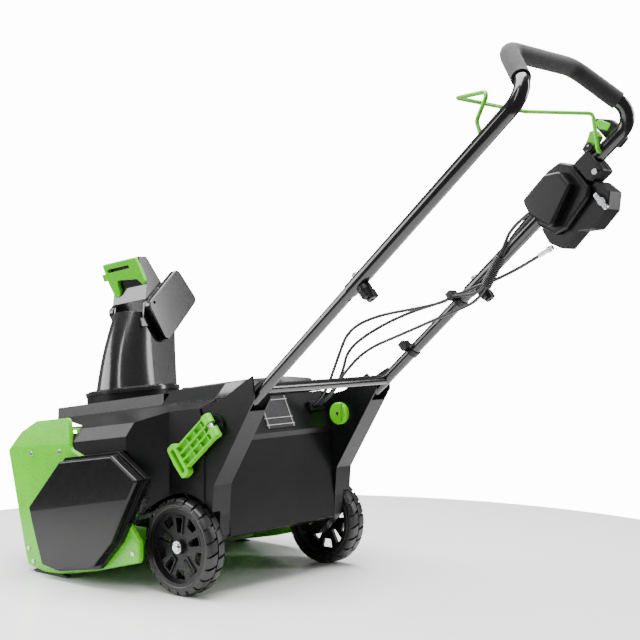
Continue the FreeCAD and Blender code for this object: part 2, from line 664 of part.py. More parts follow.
# ---- battery --------------------------------------------------------------------------------
pack = box(-BAY_HALF + 2, BAY_HALF - 2, BAY_V0 + 2, BAY_V0 + BAY_LENGTH - 2, -RIM_DROP - BAY_DEPTH + 0.1, -10)
pack = soften(pack, 8.0, lambda edge: edge_at(edge, 2, -10))
handle_slot = box(-45, 45, BAY_V0 + 30, BAY_V0 + 55, -28, -9)
pack = pack.cut(handle_slot).cut(box(-45, 45, BAY_V0 + 80, BAY_V0 + 105, -28, -9))
save("battery_pack", on_deck(pack))


def battery_lid():
    """Arched lid over the battery, hinged along its front edge."""
    arch = [(-LID_HALF, -RIM_DROP + GAP), (-136.0, 4.0), (-60.0, 11.0), (60.0, 11.0), (136.0, 4.0),
            (LID_HALF, -RIM_DROP + GAP)]
    solid = front_prism(arch, LID_V0 + 1.0, LID_V1)
    inner = [(-LID_HALF + 5, -RIM_DROP - 1), (-134.0, 0.8), (-60.0, 11.0 - WALL), (60.0, 11.0 - WALL),
             (134.0, 0.8), (LID_HALF - 5, -RIM_DROP - 1)]
    solid = solid.cut(front_prism(inner, LID_V0 + 1.0 + WALL, LID_V1 - WALL))
    for barrel in both(disc_x(40, 92, HINGE_V, HINGE_N, 4.5)):
        solid = solid.fuse(barrel)
    for notch in both(box(59, 73, HINGE_V - 12, HINGE_V + 12, -2, 20)):
        solid = solid.cut(notch)
    for bore in both(disc_x(39, 93, HINGE_V, HINGE_N, 2.0 + RUN_FIT)):
        solid = solid.cut(bore)
    solid = solid.cut(box(-200, 200, HINGE_V - 20, HINGE_V + 9, -60, -1.0))
    return solid.cut(box(-LATCH_HALF - SLIDE_FIT, LATCH_HALF + SLIDE_FIT, LID_V1 - WALL - 1, LID_V1 + 1, -20, 2))


LATCH_HALF = 24.0
save("battery_lid", on_deck(battery_lid()))
latch = box(-LATCH_HALF, LATCH_HALF, LID_V1 - WALL - 12.0, LID_V1 + 1.5, -19.0, 1.5)
latch = latch.cut(box(-LATCH_HALF + 3, LATCH_HALF - 3, LID_V1 - WALL - 13, LID_V1 - 2, -16.0, -1.5))
save("lid_latch", on_deck(latch))


# ---- chute ----------------------------------------------------------------------------------
collar = Part.makeCylinder(RING_R - 2, 18.0, V(0, 0, -RING_HEIGHT - 0.3 - 18.0))
collar = collar.cut(Part.makeCylinder(THROAT_R + 6, 40, V(0, 0, -50)))
save("chute_collar", on_chute(collar))


def chute_section(height, wall):
    """U section of the chute at a height: straight sides and an elliptical back."""
    t = height / CHUTE_HEIGHT
    bulge = math.sin(math.pi * t)
    mid_x = -4.0 - 30.0 * t
    side = chute_half(height)
    back = 101.0 - 43.0 * t + 8.0 * bulge
    free = -76.0 - 42.0 * t
    side -= wall
    back -= wall
    free -= 30.0 if wall else 0.0
    ellipse = Part.Ellipse(V(mid_x, 0, height), back, side)
    arc = Part.ArcOfEllipse(ellipse, -math.pi / 2, math.pi / 2).toShape()
    lower = V(mid_x, -side, height)
    upper = V(mid_x, side, height)
    return Part.Wire([arc, Part.makeLine(upper, V(free, side, height)),
                      Part.makeLine(V(free, side, height), V(free, -side, height)),
                      Part.makeLine(V(free, -side, height), lower)])


def chute():
    steps = 4
    outer = Part.makeLoft([chute_section(CHUTE_HEIGHT * i / steps, 0) for i in range(steps + 1)], True)
    inner = Part.makeLoft([chute_section(CHUTE_HEIGHT * (i * 1.04 - 0.02) / steps, CHUTE_WALL)
                           for i in range(steps + 1)], True)
    shell = outer.cut(inner)
    trim = front_prism([(-160.0, 150.0), (-110.0, 168.0), (-40.0, 182.0), (30.0, CHUTE_HEIGHT + 0.0),
                        (30.0, 260.0), (-160.0, 260.0)], -120, 120)
    shell = shell.cut(trim)
    flange = Part.makeCylinder(RING_R, RING_HEIGHT, V(0, 0, -RING_HEIGHT))
    rim = Part.makeCylinder(RING_R - 8, 3.0)
    flange = flange.fuse(rim).cut(Part.makeCylinder(THROAT_R, 60, V(0, 0, -30)))
    inner_low = chute_section(0, CHUTE_WALL)
    shell = shell.fuse(flange)
    shell = shell.cut(Part.Face(inner_low).extrude(V(0, 0, 6)).common(box(-76, 120, -90, 90, 0, 6)))
    for side in (1, -1):
        shell = shell.fuse(hinge_ear(side))
        ends = sorted((side * EAR_IN, side * (DEFLECTOR_HALF + 3.0)))
        shell = shell.fuse(Part.makeCylinder(HOOD_PIN_R, ends[1] - ends[0], V(DEFLECTOR_X, ends[0], DEFLECTOR_W),
                                             V(0, 1, 0)))
    return shell.removeSplitter()


def chute_half(height):
    """Outside half width of the chute at a height."""
    t = height / CHUTE_HEIGHT
    return BASE_HALF - (BASE_HALF - TOP_HALF) * t - 2.0 * math.sin(math.pi * t)


def hinge_ear(side):
    """Lug that rises from the chute's side wall to the hood's hinge."""
    x = DEFLECTOR_X
    lug = [(x - 14.0, 150.0), (x + 26.0, 150.0), (x + 11.0, DEFLECTOR_W + 9.0), (x - 11.0, DEFLECTOR_W + 9.0)]
    foot = [(x - 16.0, 148.0), (x + 28.0, 148.0), (x + 26.0, 168.0), (x - 14.0, 168.0)]
    half = chute_half(158.0) - 2.0
    ear = across(lug, side, EAR_IN, EAR_OUT, 8.0)
    return ear.fuse(across(foot, side, half, EAR_OUT))


def across(points, side, near, far, radius=0.0):
    """Extrude an (x, height) outline between two distances from the mid-plane, on one side."""
    return front_prism(points, min(side * near, side * far), max(side * near, side * far), radius)


EAR_IN = TOP_HALF + 3.0
EAR_OUT = EAR_IN + 5.0

save("chute", on_chute(chute()))


# ---- deflector ------------------------------------------------------------------------------
HOOD_BACK = [(-14.0, 214.0), (-23.0, 250.0), (-3.0, 318.0)]         # (x, height) up the hood's back
CHEEK = [(-7.0, 200.0), (-114.0, 290.0), (-172.0, 209.0), (-57.0, 102.0)]


def deflector():
    """Hood: back wall and two narrow sides, with a hollow cheek moulded outside each side."""
    thick = 3.0
    inside = [(x - thick, z) for x, z in reversed(HOOD_BACK)]
    shape = front_prism(HOOD_BACK + inside, -DEFLECTOR_HALF, DEFLECTOR_HALF)
    side_wall = [(-14.0, 214.0), (-23.0, 250.0), (-3.0, 318.0), (-29.0, 318.0), (-73.0, 250.0), (-60.0, 205.0)]
    web = [(-9.0, 204.0), (-60.0, 247.0), (-75.0, 205.0), (-40.0, 176.0)]
    for side in (1, -1):
        shape = shape.fuse(across(side_wall, side, DEFLECTOR_HALF - thick, DEFLECTOR_HALF))
        cheek = across(CHEEK, side, CHEEK_IN, CHEEK_OUT, 16.0)
        cheek = soften(cheek, 3.0, lambda edge: edge_at(edge, 1, side * CHEEK_OUT))
        hollow = across(inset(CHEEK, thick), side, CHEEK_IN - 1.0, CHEEK_OUT - thick, 13.0)
        shape = shape.fuse(cheek.cut(hollow))
        shape = shape.fuse(across(web, side, DEFLECTOR_HALF - thick, CHEEK_IN + 5.0, 8.0))
    bore = Part.makeCylinder(HOOD_PIN_R + RUN_FIT, 200, V(DEFLECTOR_X, -100, DEFLECTOR_W), V(0, 1, 0))
    return shape.cut(bore).removeSplitter()


CHEEK_IN = DEFLECTOR_HALF - 0.5
hood = on_chute(deflector())
save("deflector", hood)
# the green grip lies on the hood's back: drawn flat as (forwards, down from the top), then laid on it
GRIP_OUTLINE = [(64.0, 0.0), (61.0, 50.0), (53.0, 87.0), (41.0, 89.0), (30.0, 80.0), (30.0, 54.0), (24.0, 46.0),
                (-44.0, 53.0), (-60.0, 72.0), (-67.0, 62.0), (-64.0, 33.0), (-59.0, 0.0)]
GRIP_THICK = 11.0


def on_hood(shape):
    """Lay a shape drawn with X forwards, Y down the back and Z off it onto the hood's back."""
    top = V(HOOD_BACK[2][0], 0, HOOD_BACK[2][1])
    down = V(HOOD_BACK[1][0] - HOOD_BACK[2][0], 0, HOOD_BACK[1][1] - HOOD_BACK[2][1]).normalize()
    out = V(-down.z, 0, down.x)
    across_dir = down.cross(out)
    matrix = FreeCAD.Matrix(across_dir.x, down.x, out.x, top.x, across_dir.y, down.y, out.y, top.y,
                            across_dir.z, down.z, out.z, top.z, 0, 0, 0, 1)
    return on_chute(shape.transformGeometry(matrix))


grip = plan_prism(GRIP_OUTLINE, 0.1, GRIP_THICK, 5.0)
grip = soften(grip, 2.5, lambda edge: edge_at(edge, 2, GRIP_THICK))
grip = grip.cut(plan_prism([(-30.0, 14.0), (50.0, 14.0), (50.0, 23.0), (-30.0, 23.0)], -1, 20, 4.0))
trigger_bay = box(54, 80, 24 - SLIDE_FIT, 42 + SLIDE_FIT, 3.0 - SLIDE_FIT, 9.0 + SLIDE_FIT)
save("deflector_grip", on_hood(grip.cut(trigger_bay)).cut(hood))
trigger = box(58, 78, 24, 42, 3.0, 9.0)
trigger = soften(trigger, 2.0, lambda edge: edge_at(edge, 0, 78))
save("deflector_trigger", on_hood(trigger))

# ---- side frames ----------------------------------------------------------------------------
def tower():
    """Left side frame: two skins joined by webs, open along the top for the handle."""
    solid = side_prism(tower_outline(0), TOWER_IN, TOWER_OUT)
    hollow = side_prism(inset(tower_outline(0), TOWER_SKIN), TOWER_IN + TOWER_SKIN, TOWER_OUT - TOWER_SKIN)
    lean = math.radians(HANDLE_LEAN)
    fold = math.radians(HANDLE_LEAN + FOLD_RANGE)
    below = TUBE_DROP + UPPER_TUBE_R + 6.0
    slot = [(PIVOT_Y + below * math.sin(lean), PIVOT_Z - below * math.cos(lean))]
    slot.append((slot[0][0] + 250 * math.cos(lean), slot[0][1] + 250 * math.sin(lean)))
    slot.append((PIVOT_Y, PIVOT_Z + 300.0))
    ahead = (PIVOT_Y - 26.0 * math.sin(fold), PIVOT_Z + 26.0 * math.cos(fold))
    slot.append((ahead[0] + 250 * math.cos(fold), ahead[1] + 250 * math.sin(fold)))
    slot.append(ahead)
    hollow = hollow.fuse(side_prism(slot, TOWER_IN + TOWER_SKIN, TOWER_OUT - TOWER_SKIN))
    frame = solid.cut(hollow)
    pad = disc_x(TOWER_OUT - 1, TOWER_OUT + 5.0, PIVOT_Y, PIVOT_Z, 21.0)
    frame = frame.fuse(pad)
    hub = disc_x(TOWER_IN, WELL_X, AXLE_Y, AXLE_Z, HUB_R + 7.0)
    frame = frame.cut(disc_x(WELL_X, TOWER_OUT + 20, AXLE_Y, AXLE_Z, WELL_R)).fuse(hub)
    frame = frame.cut(disc_x(TOWER_IN - 5, WELL_X + 5, AXLE_Y, AXLE_Z, AXLE_R))
    bar_near = CROSS_AT - CROSS_R - 4.0
    bar_low = TUBE_OUT - CROSS_R - 4.0
    sweep_area = side_prism([(bar_near, bar_low), (300.0, bar_low), (300.0, 200.0), (bar_near, 200.0)],
                            TOWER_IN - 1, TOWER_IN + TOWER_SKIN)
    frame = frame.cut(on_handle(sweep_area))
    frame = frame.cut(disc_x(TOWER_IN - 5, TOWER_OUT + 9, PIVOT_Y, PIVOT_Z, PIVOT_R + RUN_FIT))
    return max(frame.Solids, key=lambda solid_part: solid_part.Volume)


FOLD_RANGE = 75.0           # how far the handle folds forward
left_tower = tower()
save("tower_left", left_tower)
save("tower_right", mirrored(left_tower))

clamp_nut = disc_x(TOWER_IN - 11.0, TOWER_IN - 0.3, PIVOT_Y, PIVOT_Z, 25.0)
clamp_nut = soften(clamp_nut, 3.0, lambda edge: edge_at(edge, 0, TOWER_IN - 11.0))
clamp_nut = clamp_nut.cut(box(TOWER_IN - 12, TOWER_IN - 6, PIVOT_Y + 8, PIVOT_Y + 14, PIVOT_Z - 30, PIVOT_Z + 30))
clamp_nut = clamp_nut.cut(disc_x(TOWER_IN - 20, TOWER_IN + 9, PIVOT_Y, PIVOT_Z, PIVOT_R))
save("clamp_nuts", both(clamp_nut))

LEVER_PIN_X = TOWER_OUT + 18.0
LEVER_ANGLE = 220.0         # the lever points forward and down
lever_dir = V(0, math.cos(math.radians(LEVER_ANGLE)), math.sin(math.radians(LEVER_ANGLE)))
lever_side = V(1, 0, 0).cross(lever_dir)
clamp_bolt = disc_x(TOWER_IN - 12.0, LEVER_PIN_X, PIVOT_Y, PIVOT_Z, PIVOT_R)
centre = V(LEVER_PIN_X, PIVOT_Y, PIVOT_Z)
eye = rod(centre - lever_side * 5, centre + lever_side * 5, 7.0)
clamp_bolt = clamp_bolt.fuse(eye).fuse(rod(centre - lever_side * 26, centre + lever_side * 26, 3.0)).removeSplitter()
chassis_bolts = both(clamp_bolt)


def clamp_lever():
    """Left cam lever: two knuckles on the cross pin, a ribbed plate and a finger loop."""
    reach = LEVER_LENGTH
    pieces = []
    for sign in (1, -1):
        ends = sorted((sign * 6.5, sign * 26.0))
        pieces.append(Part.makeCylinder(11.5, ends[1] - ends[0], V(0, ends[0], 0), V(0, 1, 0)))
    edge = 3.0
    deck = box(9.0, reach - 26.0, -26.0, 26.0, -6.0, -3.5)
    pieces.append(deck)
    for at in (-26.0, -9.0, 6.0, 26.0 - edge):
        pieces.append(box(7.0, reach - 24.0, at, at + edge, -6.0, 7.0))
    for at in (18.0, 45.0, 72.0):
        pieces.append(box(at, at + 2.5, -26.0, 26.0, -6.0, 5.0))
    loop = plan_prism([(reach - 28.0, -38.0), (reach - 3.0, -38.0), (reach, 0.0), (reach - 3.0, 38.0),
                       (reach - 28.0, 38.0)], -7.0, 8.0, 7.0)
    loop = loop.cut(plan_prism([(reach - 20.0, -29.0), (reach - 9.0, -29.0), (reach - 9.0, 29.0),
                                (reach - 20.0, 29.0)], -9, 9, 4.0))
    lever = loop
    for piece in pieces:
        lever = lever.fuse(piece)
    lever = lever.cut(Part.makeCylinder(3.0 + RUN_FIT, 60, V(0, -30, 0), V(0, 1, 0)))
    lever = lever.cut(box(-14, 9.0, -6.5, 6.5, -14, 14)).removeSplitter()
    matrix = FreeCAD.Matrix(lever_dir.x, lever_side.x, 1, centre.x, lever_dir.y, lever_side.y, 0, centre.y,
                            lever_dir.z, lever_side.z, 0, centre.z, 0, 0, 0, 1)
    return lever.transformGeometry(matrix)


LEVER_LENGTH = 136.0
left_lever = clamp_lever()
save("clamp_lever_left", left_lever)
save("clamp_lever_right", mirrored(left_lever))


# ---- wheels ---------------------------------------------------------------------------------
def window(r0, r1, half0, half1, angle, grow=0.0):
    """Trapezoid opening in the wheel's web, between two radii, about its own axis at the origin."""
    points = [(-half0 - grow, r0 - grow), (half0 + grow, r0 - grow), (half1 + grow, r1 + grow),
              (-half1 - grow, r1 + grow)]
    prism = side_prism(points, -30, 30, 3.0)
    return turned(prism, V(0, 0, 0), V(1, 0, 0), angle)


def wheel_rim():
    """Left rim about the origin: hub, web with ten openings, and the tyre's seat."""
    half = WHEEL_WIDTH / 2
    seat = disc_x(-half + 1, half - 1, 0, 0, RIM_R).cut(disc_x(-half, half, 0, 0, RIM_R - 7.0))
    web = disc_x(6.0, 12.0, 0, 0, RIM_R - 6.0)
    hub = disc_x(-half, half - 4.0, 0, 0, HUB_R)
    for i in range(5):
        frame = window(30.0, 62.0, 5.5, 10.0, i * 72.0, 3.0).common(disc_x(11.0, 15.5, 0, 0, RIM_R))
        web = web.fuse(frame)
    for i in range(5):
        web = web.cut(window(30.0, 62.0, 5.5, 10.0, i * 72.0))
        web = web.cut(window(48.0, 68.0, 10.0, 15.5, i * 72.0 + 36.0))
    rim = seat.fuse(web).fuse(hub)
    return rim.cut(disc_x(-40, 40, 0, 0, AXLE_R + RUN_FIT)).removeSplitter()


def tyre():
    """Rubber tread with two staggered rows of grooves."""
    half = WHEEL_WIDTH / 2
    ring = disc_x(-half, half, 0, 0, WHEEL_R)
    ring = soften(ring, 8.0, lambda edge: abs(abs(edge.CenterOfMass.x) - half) < 0.01)
    ring = ring.cut(disc_x(-40, 40, 0, 0, RIM_R))
    cuts = []
    count = 22
    for i in range(count):
        for sign in (1, -1):
            groove = box(min(sign * 4, sign * 30), max(sign * 4, sign * 30), -3.0, 3.0, WHEEL_R - 5.5, WHEEL_R + 5)
            groove = turned(groove, V(0, 0, 0), V(0, 0, 1), sign * 18.0)
            cuts.append(turned(groove, V(0, 0, 0), V(1, 0, 0), (i + (0.5 if sign > 0 else 0.0)) * 360.0 / count))
    return ring.cut(Part.makeCompound(cuts))


def at_wheel(shape):
    placed = shape.copy()
    placed.translate(V(WHEEL_X, AXLE_Y, AXLE_Z))
    return placed


left_rim = at_wheel(wheel_rim())
left_tyre = at_wheel(tyre())
save("wheel_rim_left", left_rim)
save("wheel_rim_right", mirrored(left_rim))
save("tyre_left", left_tyre)
save("tyre_right", mirrored(left_tyre))
axle_end = WHEEL_X + WHEEL_WIDTH / 2 - 4.0
bolt = disc_x(TOWER_IN, axle_end + 0.5, AXLE_Y, AXLE_Z, AXLE_R)
bolt = bolt.fuse(disc_x(axle_end + 0.3, axle_end + 2.3, AXLE_Y, AXLE_Z, 13.0))
bolt = bolt.fuse(soften(disc_x(axle_end + 2.3, axle_end + 8.0, AXLE_Y, AXLE_Z, 9.0), 2.5,
                        lambda edge: edge_at(edge, 0, axle_end + 8.0))).removeSplitter()
save("chassis_bolts", chassis_bolts + both(bolt))

# ---- handle ---------------------------------------------------------------------------------
foot = plan_prism([(TOWER_IN + TOWER_SKIN + 1.0, -20.0), (TOWER_OUT - TOWER_SKIN - 1.0, -20.0),
                   (TOWER_OUT - TOWER_SKIN - 1.0, 62.0), (TOWER_IN + TOWER_SKIN + 1.0, 62.0)],
                  TUBE_OUT - 17.0, TUBE_OUT + 17.0, 6.0)
foot = foot.cut(rod(V(HANDLE_X, 0, TUBE_OUT), V(HANDLE_X, 70, TUBE_OUT), LOWER_TUBE_R))
foot = foot.fuse(disc_x(TOWER_IN + TOWER_SKIN + 1.0, TOWER_OUT - TOWER_SKIN - 1.0, 0, 0, 16.0))
foot = foot.cut(rod(V(HANDLE_X, 17.0, TUBE_OUT), V(HANDLE_X, 70, TUBE_OUT), LOWER_TUBE_R))
foot = foot.cut(disc_x(TOWER_IN, TOWER_OUT, 0, 0, PIVOT_R + RUN_FIT)).removeSplitter()
save("handle_feet", [on_handle(shape) for shape in both(foot)])

FOOT_END = 17.0
cross_bar = rod(V(-HANDLE_X, CROSS_AT, TUBE_OUT), V(HANDLE_X, CROSS_AT, TUBE_OUT), CROSS_R)
lower = cross_bar
for side in (1, -1):
    x = side * HANDLE_X
    lower = lower.fuse(rod(V(x, FOOT_END, TUBE_OUT), V(x, LOWER_END, TUBE_OUT), LOWER_TUBE_R))
for side in (1, -1):
    x = side * HANDLE_X
    lower = lower.cut(rod(V(x, FOOT_END - 1, TUBE_OUT), V(x, LOWER_END + 1, TUBE_OUT), LOWER_TUBE_R - TUBE_WALL))
lower = lower.cut(rod(V(-HANDLE_X, CROSS_AT, TUBE_OUT), V(HANDLE_X, CROSS_AT, TUBE_OUT), CROSS_R - TUBE_WALL))
bolt_holes = []
for side in (1, -1):
    for at in (KNOB_AT, KNOB_AT - 42.0):
        bolt_holes.append(Part.makeCylinder(CLAMP_R, 80, V(side * HANDLE_X, at, TUBE_OUT - 40), V(0, 0, 1)))
for hole in bolt_holes:
    lower = lower.cut(hole)
save("lower_handle", on_handle(lower.removeSplitter()))

handle_top = [handle_point(HANDLE_X, UPPER_START, TUBE_OUT), handle_point(HANDLE_X, BEND_AT, TUBE_OUT),
              V(GRIP_HALF, GRIP_Y, GRIP_Z)]
upper_points = handle_top + [V(-p.x, p.y, p.z) for p in reversed(handle_top)]
BEND_RADII = [BEND_R, GRIP_R, GRIP_R, BEND_R]
upper_path = rounded_path(upper_points, BEND_RADII)
upper = sweep(upper_path, UPPER_TUBE_R).cut(sweep(upper_path, UPPER_TUBE_R - TUBE_WALL))
for hole in bolt_holes:
    upper = upper.cut(on_handle(hole))
bail_axis = handle_point(0, BAIL_AT, BAIL_OUT)
upper = upper.cut(disc_x(-HANDLE_X, HANDLE_X, bail_axis.y, bail_axis.z, BAIL_R + RUN_FIT))
save("upper_handle", upper)

start = upper_points[1] + (upper_points[2] - upper_points[1]).normalize() * FOAM_START
foam_points = [start, upper_points[2], upper_points[3], V(-start.x, start.y, start.z)]
foam_path = rounded_path(foam_points, [GRIP_R, GRIP_R])
foam = sweep(foam_path, FOAM_R).cut(sweep(foam_path, UPPER_TUBE_R + 0.1))
save("foam_grip", foam)

# ---- clamp bolts of the two handle halves ----------------------------------------------------
bolts = []
for side in (1, -1):
    x = side * HANDLE_X
    head = Part.makeCylinder(7.0, 5.0, V(x, KNOB_AT, TUBE_OUT + UPPER_TUBE_R))
    dome = soften(head, 2.5, lambda edge: edge_at(edge, 2, TUBE_OUT + UPPER_TUBE_R + 5.0))
    saddle = Part.makeCylinder(7.0, 6.0, V(x, KNOB_AT, TUBE_OUT + UPPER_TUBE_R - 4.0))
    saddle = saddle.cut(rod(V(x, KNOB_AT - 20, TUBE_OUT), V(x, KNOB_AT + 20, TUBE_OUT), UPPER_TUBE_R))
    shank = Part.makeCylinder(CLAMP_R, KNOB_BOLT_LENGTH, V(x, KNOB_AT, TUBE_OUT + UPPER_TUBE_R - KNOB_BOLT_LENGTH))
    bolts.append(on_handle(shank.fuse(saddle).fuse(dome).removeSplitter()))
handle_fasteners = bolts


def wing_knob():
    """Left wing knob under the tube: a hub with two wings and a saddle face."""
    near = TUBE_OUT - UPPER_TUBE_R - 0.3
    hub = Part.makeCone(13.0, 9.0, 22.0, V(HANDLE_X, KNOB_AT, near - 10.0), V(0, 0, -1))
    collar = Part.makeCylinder(14.0, 10.0, V(HANDLE_X, KNOB_AT, near - 10.0))
    wings = front_prism([(-21.0, 0.0), (21.0, 0.0), (20.0, 19.0), (12.0, 22.0), (8.0, 9.0), (-8.0, 9.0),
                         (-12.0, 22.0), (-20.0, 19.0)], -5.0, 5.0, 3.0)
    wings = turned(wings, V(0, 0, 0), V(1, 0, 0), 180)
    wings.translate(V(HANDLE_X, KNOB_AT, near - 8.0))
    knob = hub.fuse(collar).fuse(wings)
    return knob.cut(Part.makeCylinder(CLAMP_R + RUN_FIT, 60, V(HANDLE_X, KNOB_AT, near - 45.0))).removeSplitter()


left_knob = on_handle(wing_knob())
save("wing_knob_left", left_knob)
save("wing_knob_right", mirrored(left_knob))

# ---- control box ----------------------------------------------------------------------------
BOX_OUTLINE = [(664.0, 24.0), (742.0, 38.0), (776.0, 32.0), (792.0, 10.0), (792.0, -56.0), (776.0, -68.0),
               (700.0, -80.0), (674.0, -72.0), (658.0, -34.0)]
BOX_WALL = 3.0
POD_OUTLINE = [(672.0, 23.0), (665.0, -10.0), (684.0, -65.0), (772.0, -32.0), (771.0, 8.0), (742.0, 27.0)]
BRACKET_OUTLINE = [(653.0, -35.0), (648.0, -70.0), (663.0, -100.0), (713.0, -96.0), (739.0, -115.0),
                   (788.0, -110.0), (815.0, -85.0), (808.0, -50.0)]
BRACKET_X = (-236.0, -186.0)
tube_hole = rod(V(-HANDLE_X, 600, TUBE_OUT), V(-HANDLE_X, 900, TUBE_OUT), UPPER_TUBE_R)


def hollow_box(outline, x0, x1, corner, rim, rounded_ends):
    """Moulded box of one wall thickness, with its rounded ends listed."""
    outer = side_prism(outline, x0, x1, corner)
    for end in rounded_ends:
        outer = soften(outer, rim, lambda edge: edge_at(edge, 0, end))
    inner = side_prism(inset(outline, BOX_WALL), min(x0, x1) + BOX_WALL, max(x0, x1) - BOX_WALL, corner - BOX_WALL)
    return outer, inner


box_outside, box_inside = hollow_box(BOX_OUTLINE, BOX_OUTER, BOX_INNER, 12.0, 7.0, [BOX_OUTER, BOX_INNER])
boss = rod(V(-HANDLE_X, 600, TUBE_OUT), V(-HANDLE_X, 900, TUBE_OUT), UPPER_TUBE_R + BOX_WALL)
shell = box_outside.cut(box_inside.cut(boss)).cut(tube_hole)
outer_half = shell.common(box(BOX_OUTER - 1, -HANDLE_X - 0.15, 600, 900, -150, 120))
inner_half = shell.common(box(-HANDLE_X + 0.15, BOX_INNER, 600, 900, -150, 120))
save("control_box_outer", on_handle(outer_half.removeSplitter()))
save("control_box_inner", on_handle(inner_half.removeSplitter()))
bracket_outside, bracket_inside = hollow_box(BRACKET_OUTLINE, BRACKET_X[0], BRACKET_X[1], 5.0, 2.0, BRACKET_X)
bracket = bracket_outside.cut(bracket_inside)
bracket = bracket.cut(side_prism(inset(BOX_OUTLINE, -0.3), -300, -100, 12.0)).cut(tube_hole)
bracket = max(bracket.Solids, key=lambda solid: solid.Volume)


# ---- cables ---------------------------------------------------------------------------------
GLAND_X = (-136.0, -124.0, -112.0)
GLAND_RUN = 46.0            # straight run of each cable out of the gland
SWITCH_X = -158.2           # the two cables that run through the coiled sleeve
TRIGGER_X = -165.8
CLIP_AT = 403.0
SPARE_CLIP_AT = 236.0


def cable_route(along, hanging, gland_x):
    """Path of a cable: handle points first, then frame points, then its hole in the gland."""
    hole = V(gland_x, GLAND_AT.y, GLAND_AT.z)
    points = [handle_point(*p) for p in along] + [V(*p) for p in hanging]
    points += [hole + GLAND_OUT * GLAND_RUN, hole + GLAND_OUT]
    radii = []
    for i in range(1, len(points) - 1):
        before = points[i - 1] - points[i]
        after = points[i + 1] - points[i]
        half = before.getAngle(after) / 2
        radii.append(0.45 * min(before.Length, after.Length) * math.tan(half))
    print("cable bends, mm:", [round(radius, 1) for radius in radii])
    return rounded_path(points, radii)


def cable_tube(route):
    """Round cable along its route; its volume is compared with its section times its length."""
    tube = sweep(route, CABLE_R)
    expected = math.pi * CABLE_R ** 2 * route.Length
    print("cable length, mm:", round(route.Length, 1), "volume share:", round(tube.Volume / expected, 4))
    return tube


SLEEVE = [(575.0, -17.0), (476.0, -50.0)]   # straight run through the sleeve, (along, out)


def sleeve_point(x, share):
    (s0, o0), (s1, o1) = SLEEVE
    return handle_point(x, s0 + (s1 - s0) * share, o0 + (o1 - o0) * share)


switch_route = cable_route(
    [(SWITCH_X, 672, -6), (SWITCH_X, 615, 3), (SWITCH_X, 575, -17), (SWITCH_X, 476, -50), (SWITCH_X, 440, -28),
     (-172, CLIP_AT, 2), (-172, CLIP_AT - 18, 2)],
    [(-160, 697, 601), (-140, 589, 583), (-118, 529, 551), (-112, 505, 490)], GLAND_X[2])
trigger_route = cable_route(
    [(TRIGGER_X, 672, -6), (TRIGGER_X, 612, -8), (TRIGGER_X, 575, -17), (TRIGGER_X, 476, -50),
     (-166, 440, -50), (-162, 400, -35)],
    [(-160, 643, 542), (-142, 560, 508), (-124, 515, 458)], GLAND_X[1])
chute_route = cable_route(
    [(-190, 622, -74), (-190, 566, -61), (-184, 499, -40), (-172, 462, -24), (-175, 430, -12),
     (-186, CLIP_AT, 6), (-186, CLIP_AT - 18, 6)],
    [(-168, 650, 588), (-152, 560, 545), (-140, 508, 504), (-136, 500, 458)], GLAND_X[0])
switch_cable = cable_tube(switch_route)
trigger_cable = cable_tube(trigger_route)
chute_cable = cable_tube(chute_route)
save("switch_cable", switch_cable)
save("trigger_cable", trigger_cable)
save("chute_cable", chute_cable)
save("coil_sleeve", pipe(sleeve_point((SWITCH_X + TRIGGER_X) / 2, 0.19),
                         sleeve_point((SWITCH_X + TRIGGER_X) / 2, 0.86), 12.0, 8.2))
ferrule_dir = (handle_point(-190, 566, -61) - handle_point(-190, 622, -74)).normalize()
ferrule_from = handle_point(-190, 622, -74) - ferrule_dir * 26.0
ferrule = rod(ferrule_from, ferrule_from + ferrule_dir * 36.0, CABLE_R + 1.5)
ferrule = ferrule.fuse(rod(ferrule_from + ferrule_dir * 6, ferrule_from + ferrule_dir * 12.0, CABLE_R + 3.0))
ferrule = ferrule.cut(rod(ferrule_from + ferrule_dir * 25.9, ferrule_from + ferrule_dir * 37, CABLE_R + 0.05))
save("cable_ferrule", ferrule.removeSplitter())


def cable_clip(at, cables):
    """Ring on the right lower tube with a leg that holds the cables, if any."""
    ring = rod(V(-HANDLE_X, at - 7, TUBE_OUT), V(-HANDLE_X, at + 7, TUBE_OUT), LOWER_TUBE_R + 2.5)
    leg = soften(box(-HANDLE_X + 4, -HANDLE_X + 33, at - 7, at + 7, -6, 13), 4.0,
                 lambda edge: edge_at(edge, 0, -HANDLE_X + 33))
    hole = rod(V(-HANDLE_X, at - 9, TUBE_OUT), V(-HANDLE_X, at + 9, TUBE_OUT), LOWER_TUBE_R + 0.05)
    clip = on_handle(ring.fuse(leg).cut(hole))
    for cable in cables:
        clip = clip.cut(cable)
    return clip.removeSplitter()


save("cable_clips", [cable_clip(CLIP_AT, (switch_cable, chute_cable)), cable_clip(SPARE_CLIP_AT, ())])
pod_outside, pod_inside = hollow_box(POD_OUTLINE, BOX_INNER + 0.3, POD_INNER, 10.0, 6.0, [POD_INNER])
switch_pod = on_handle(pod_outside.cut(pod_inside))
save("switch_pod", switch_pod.cut(switch_cable).cut(trigger_cable))

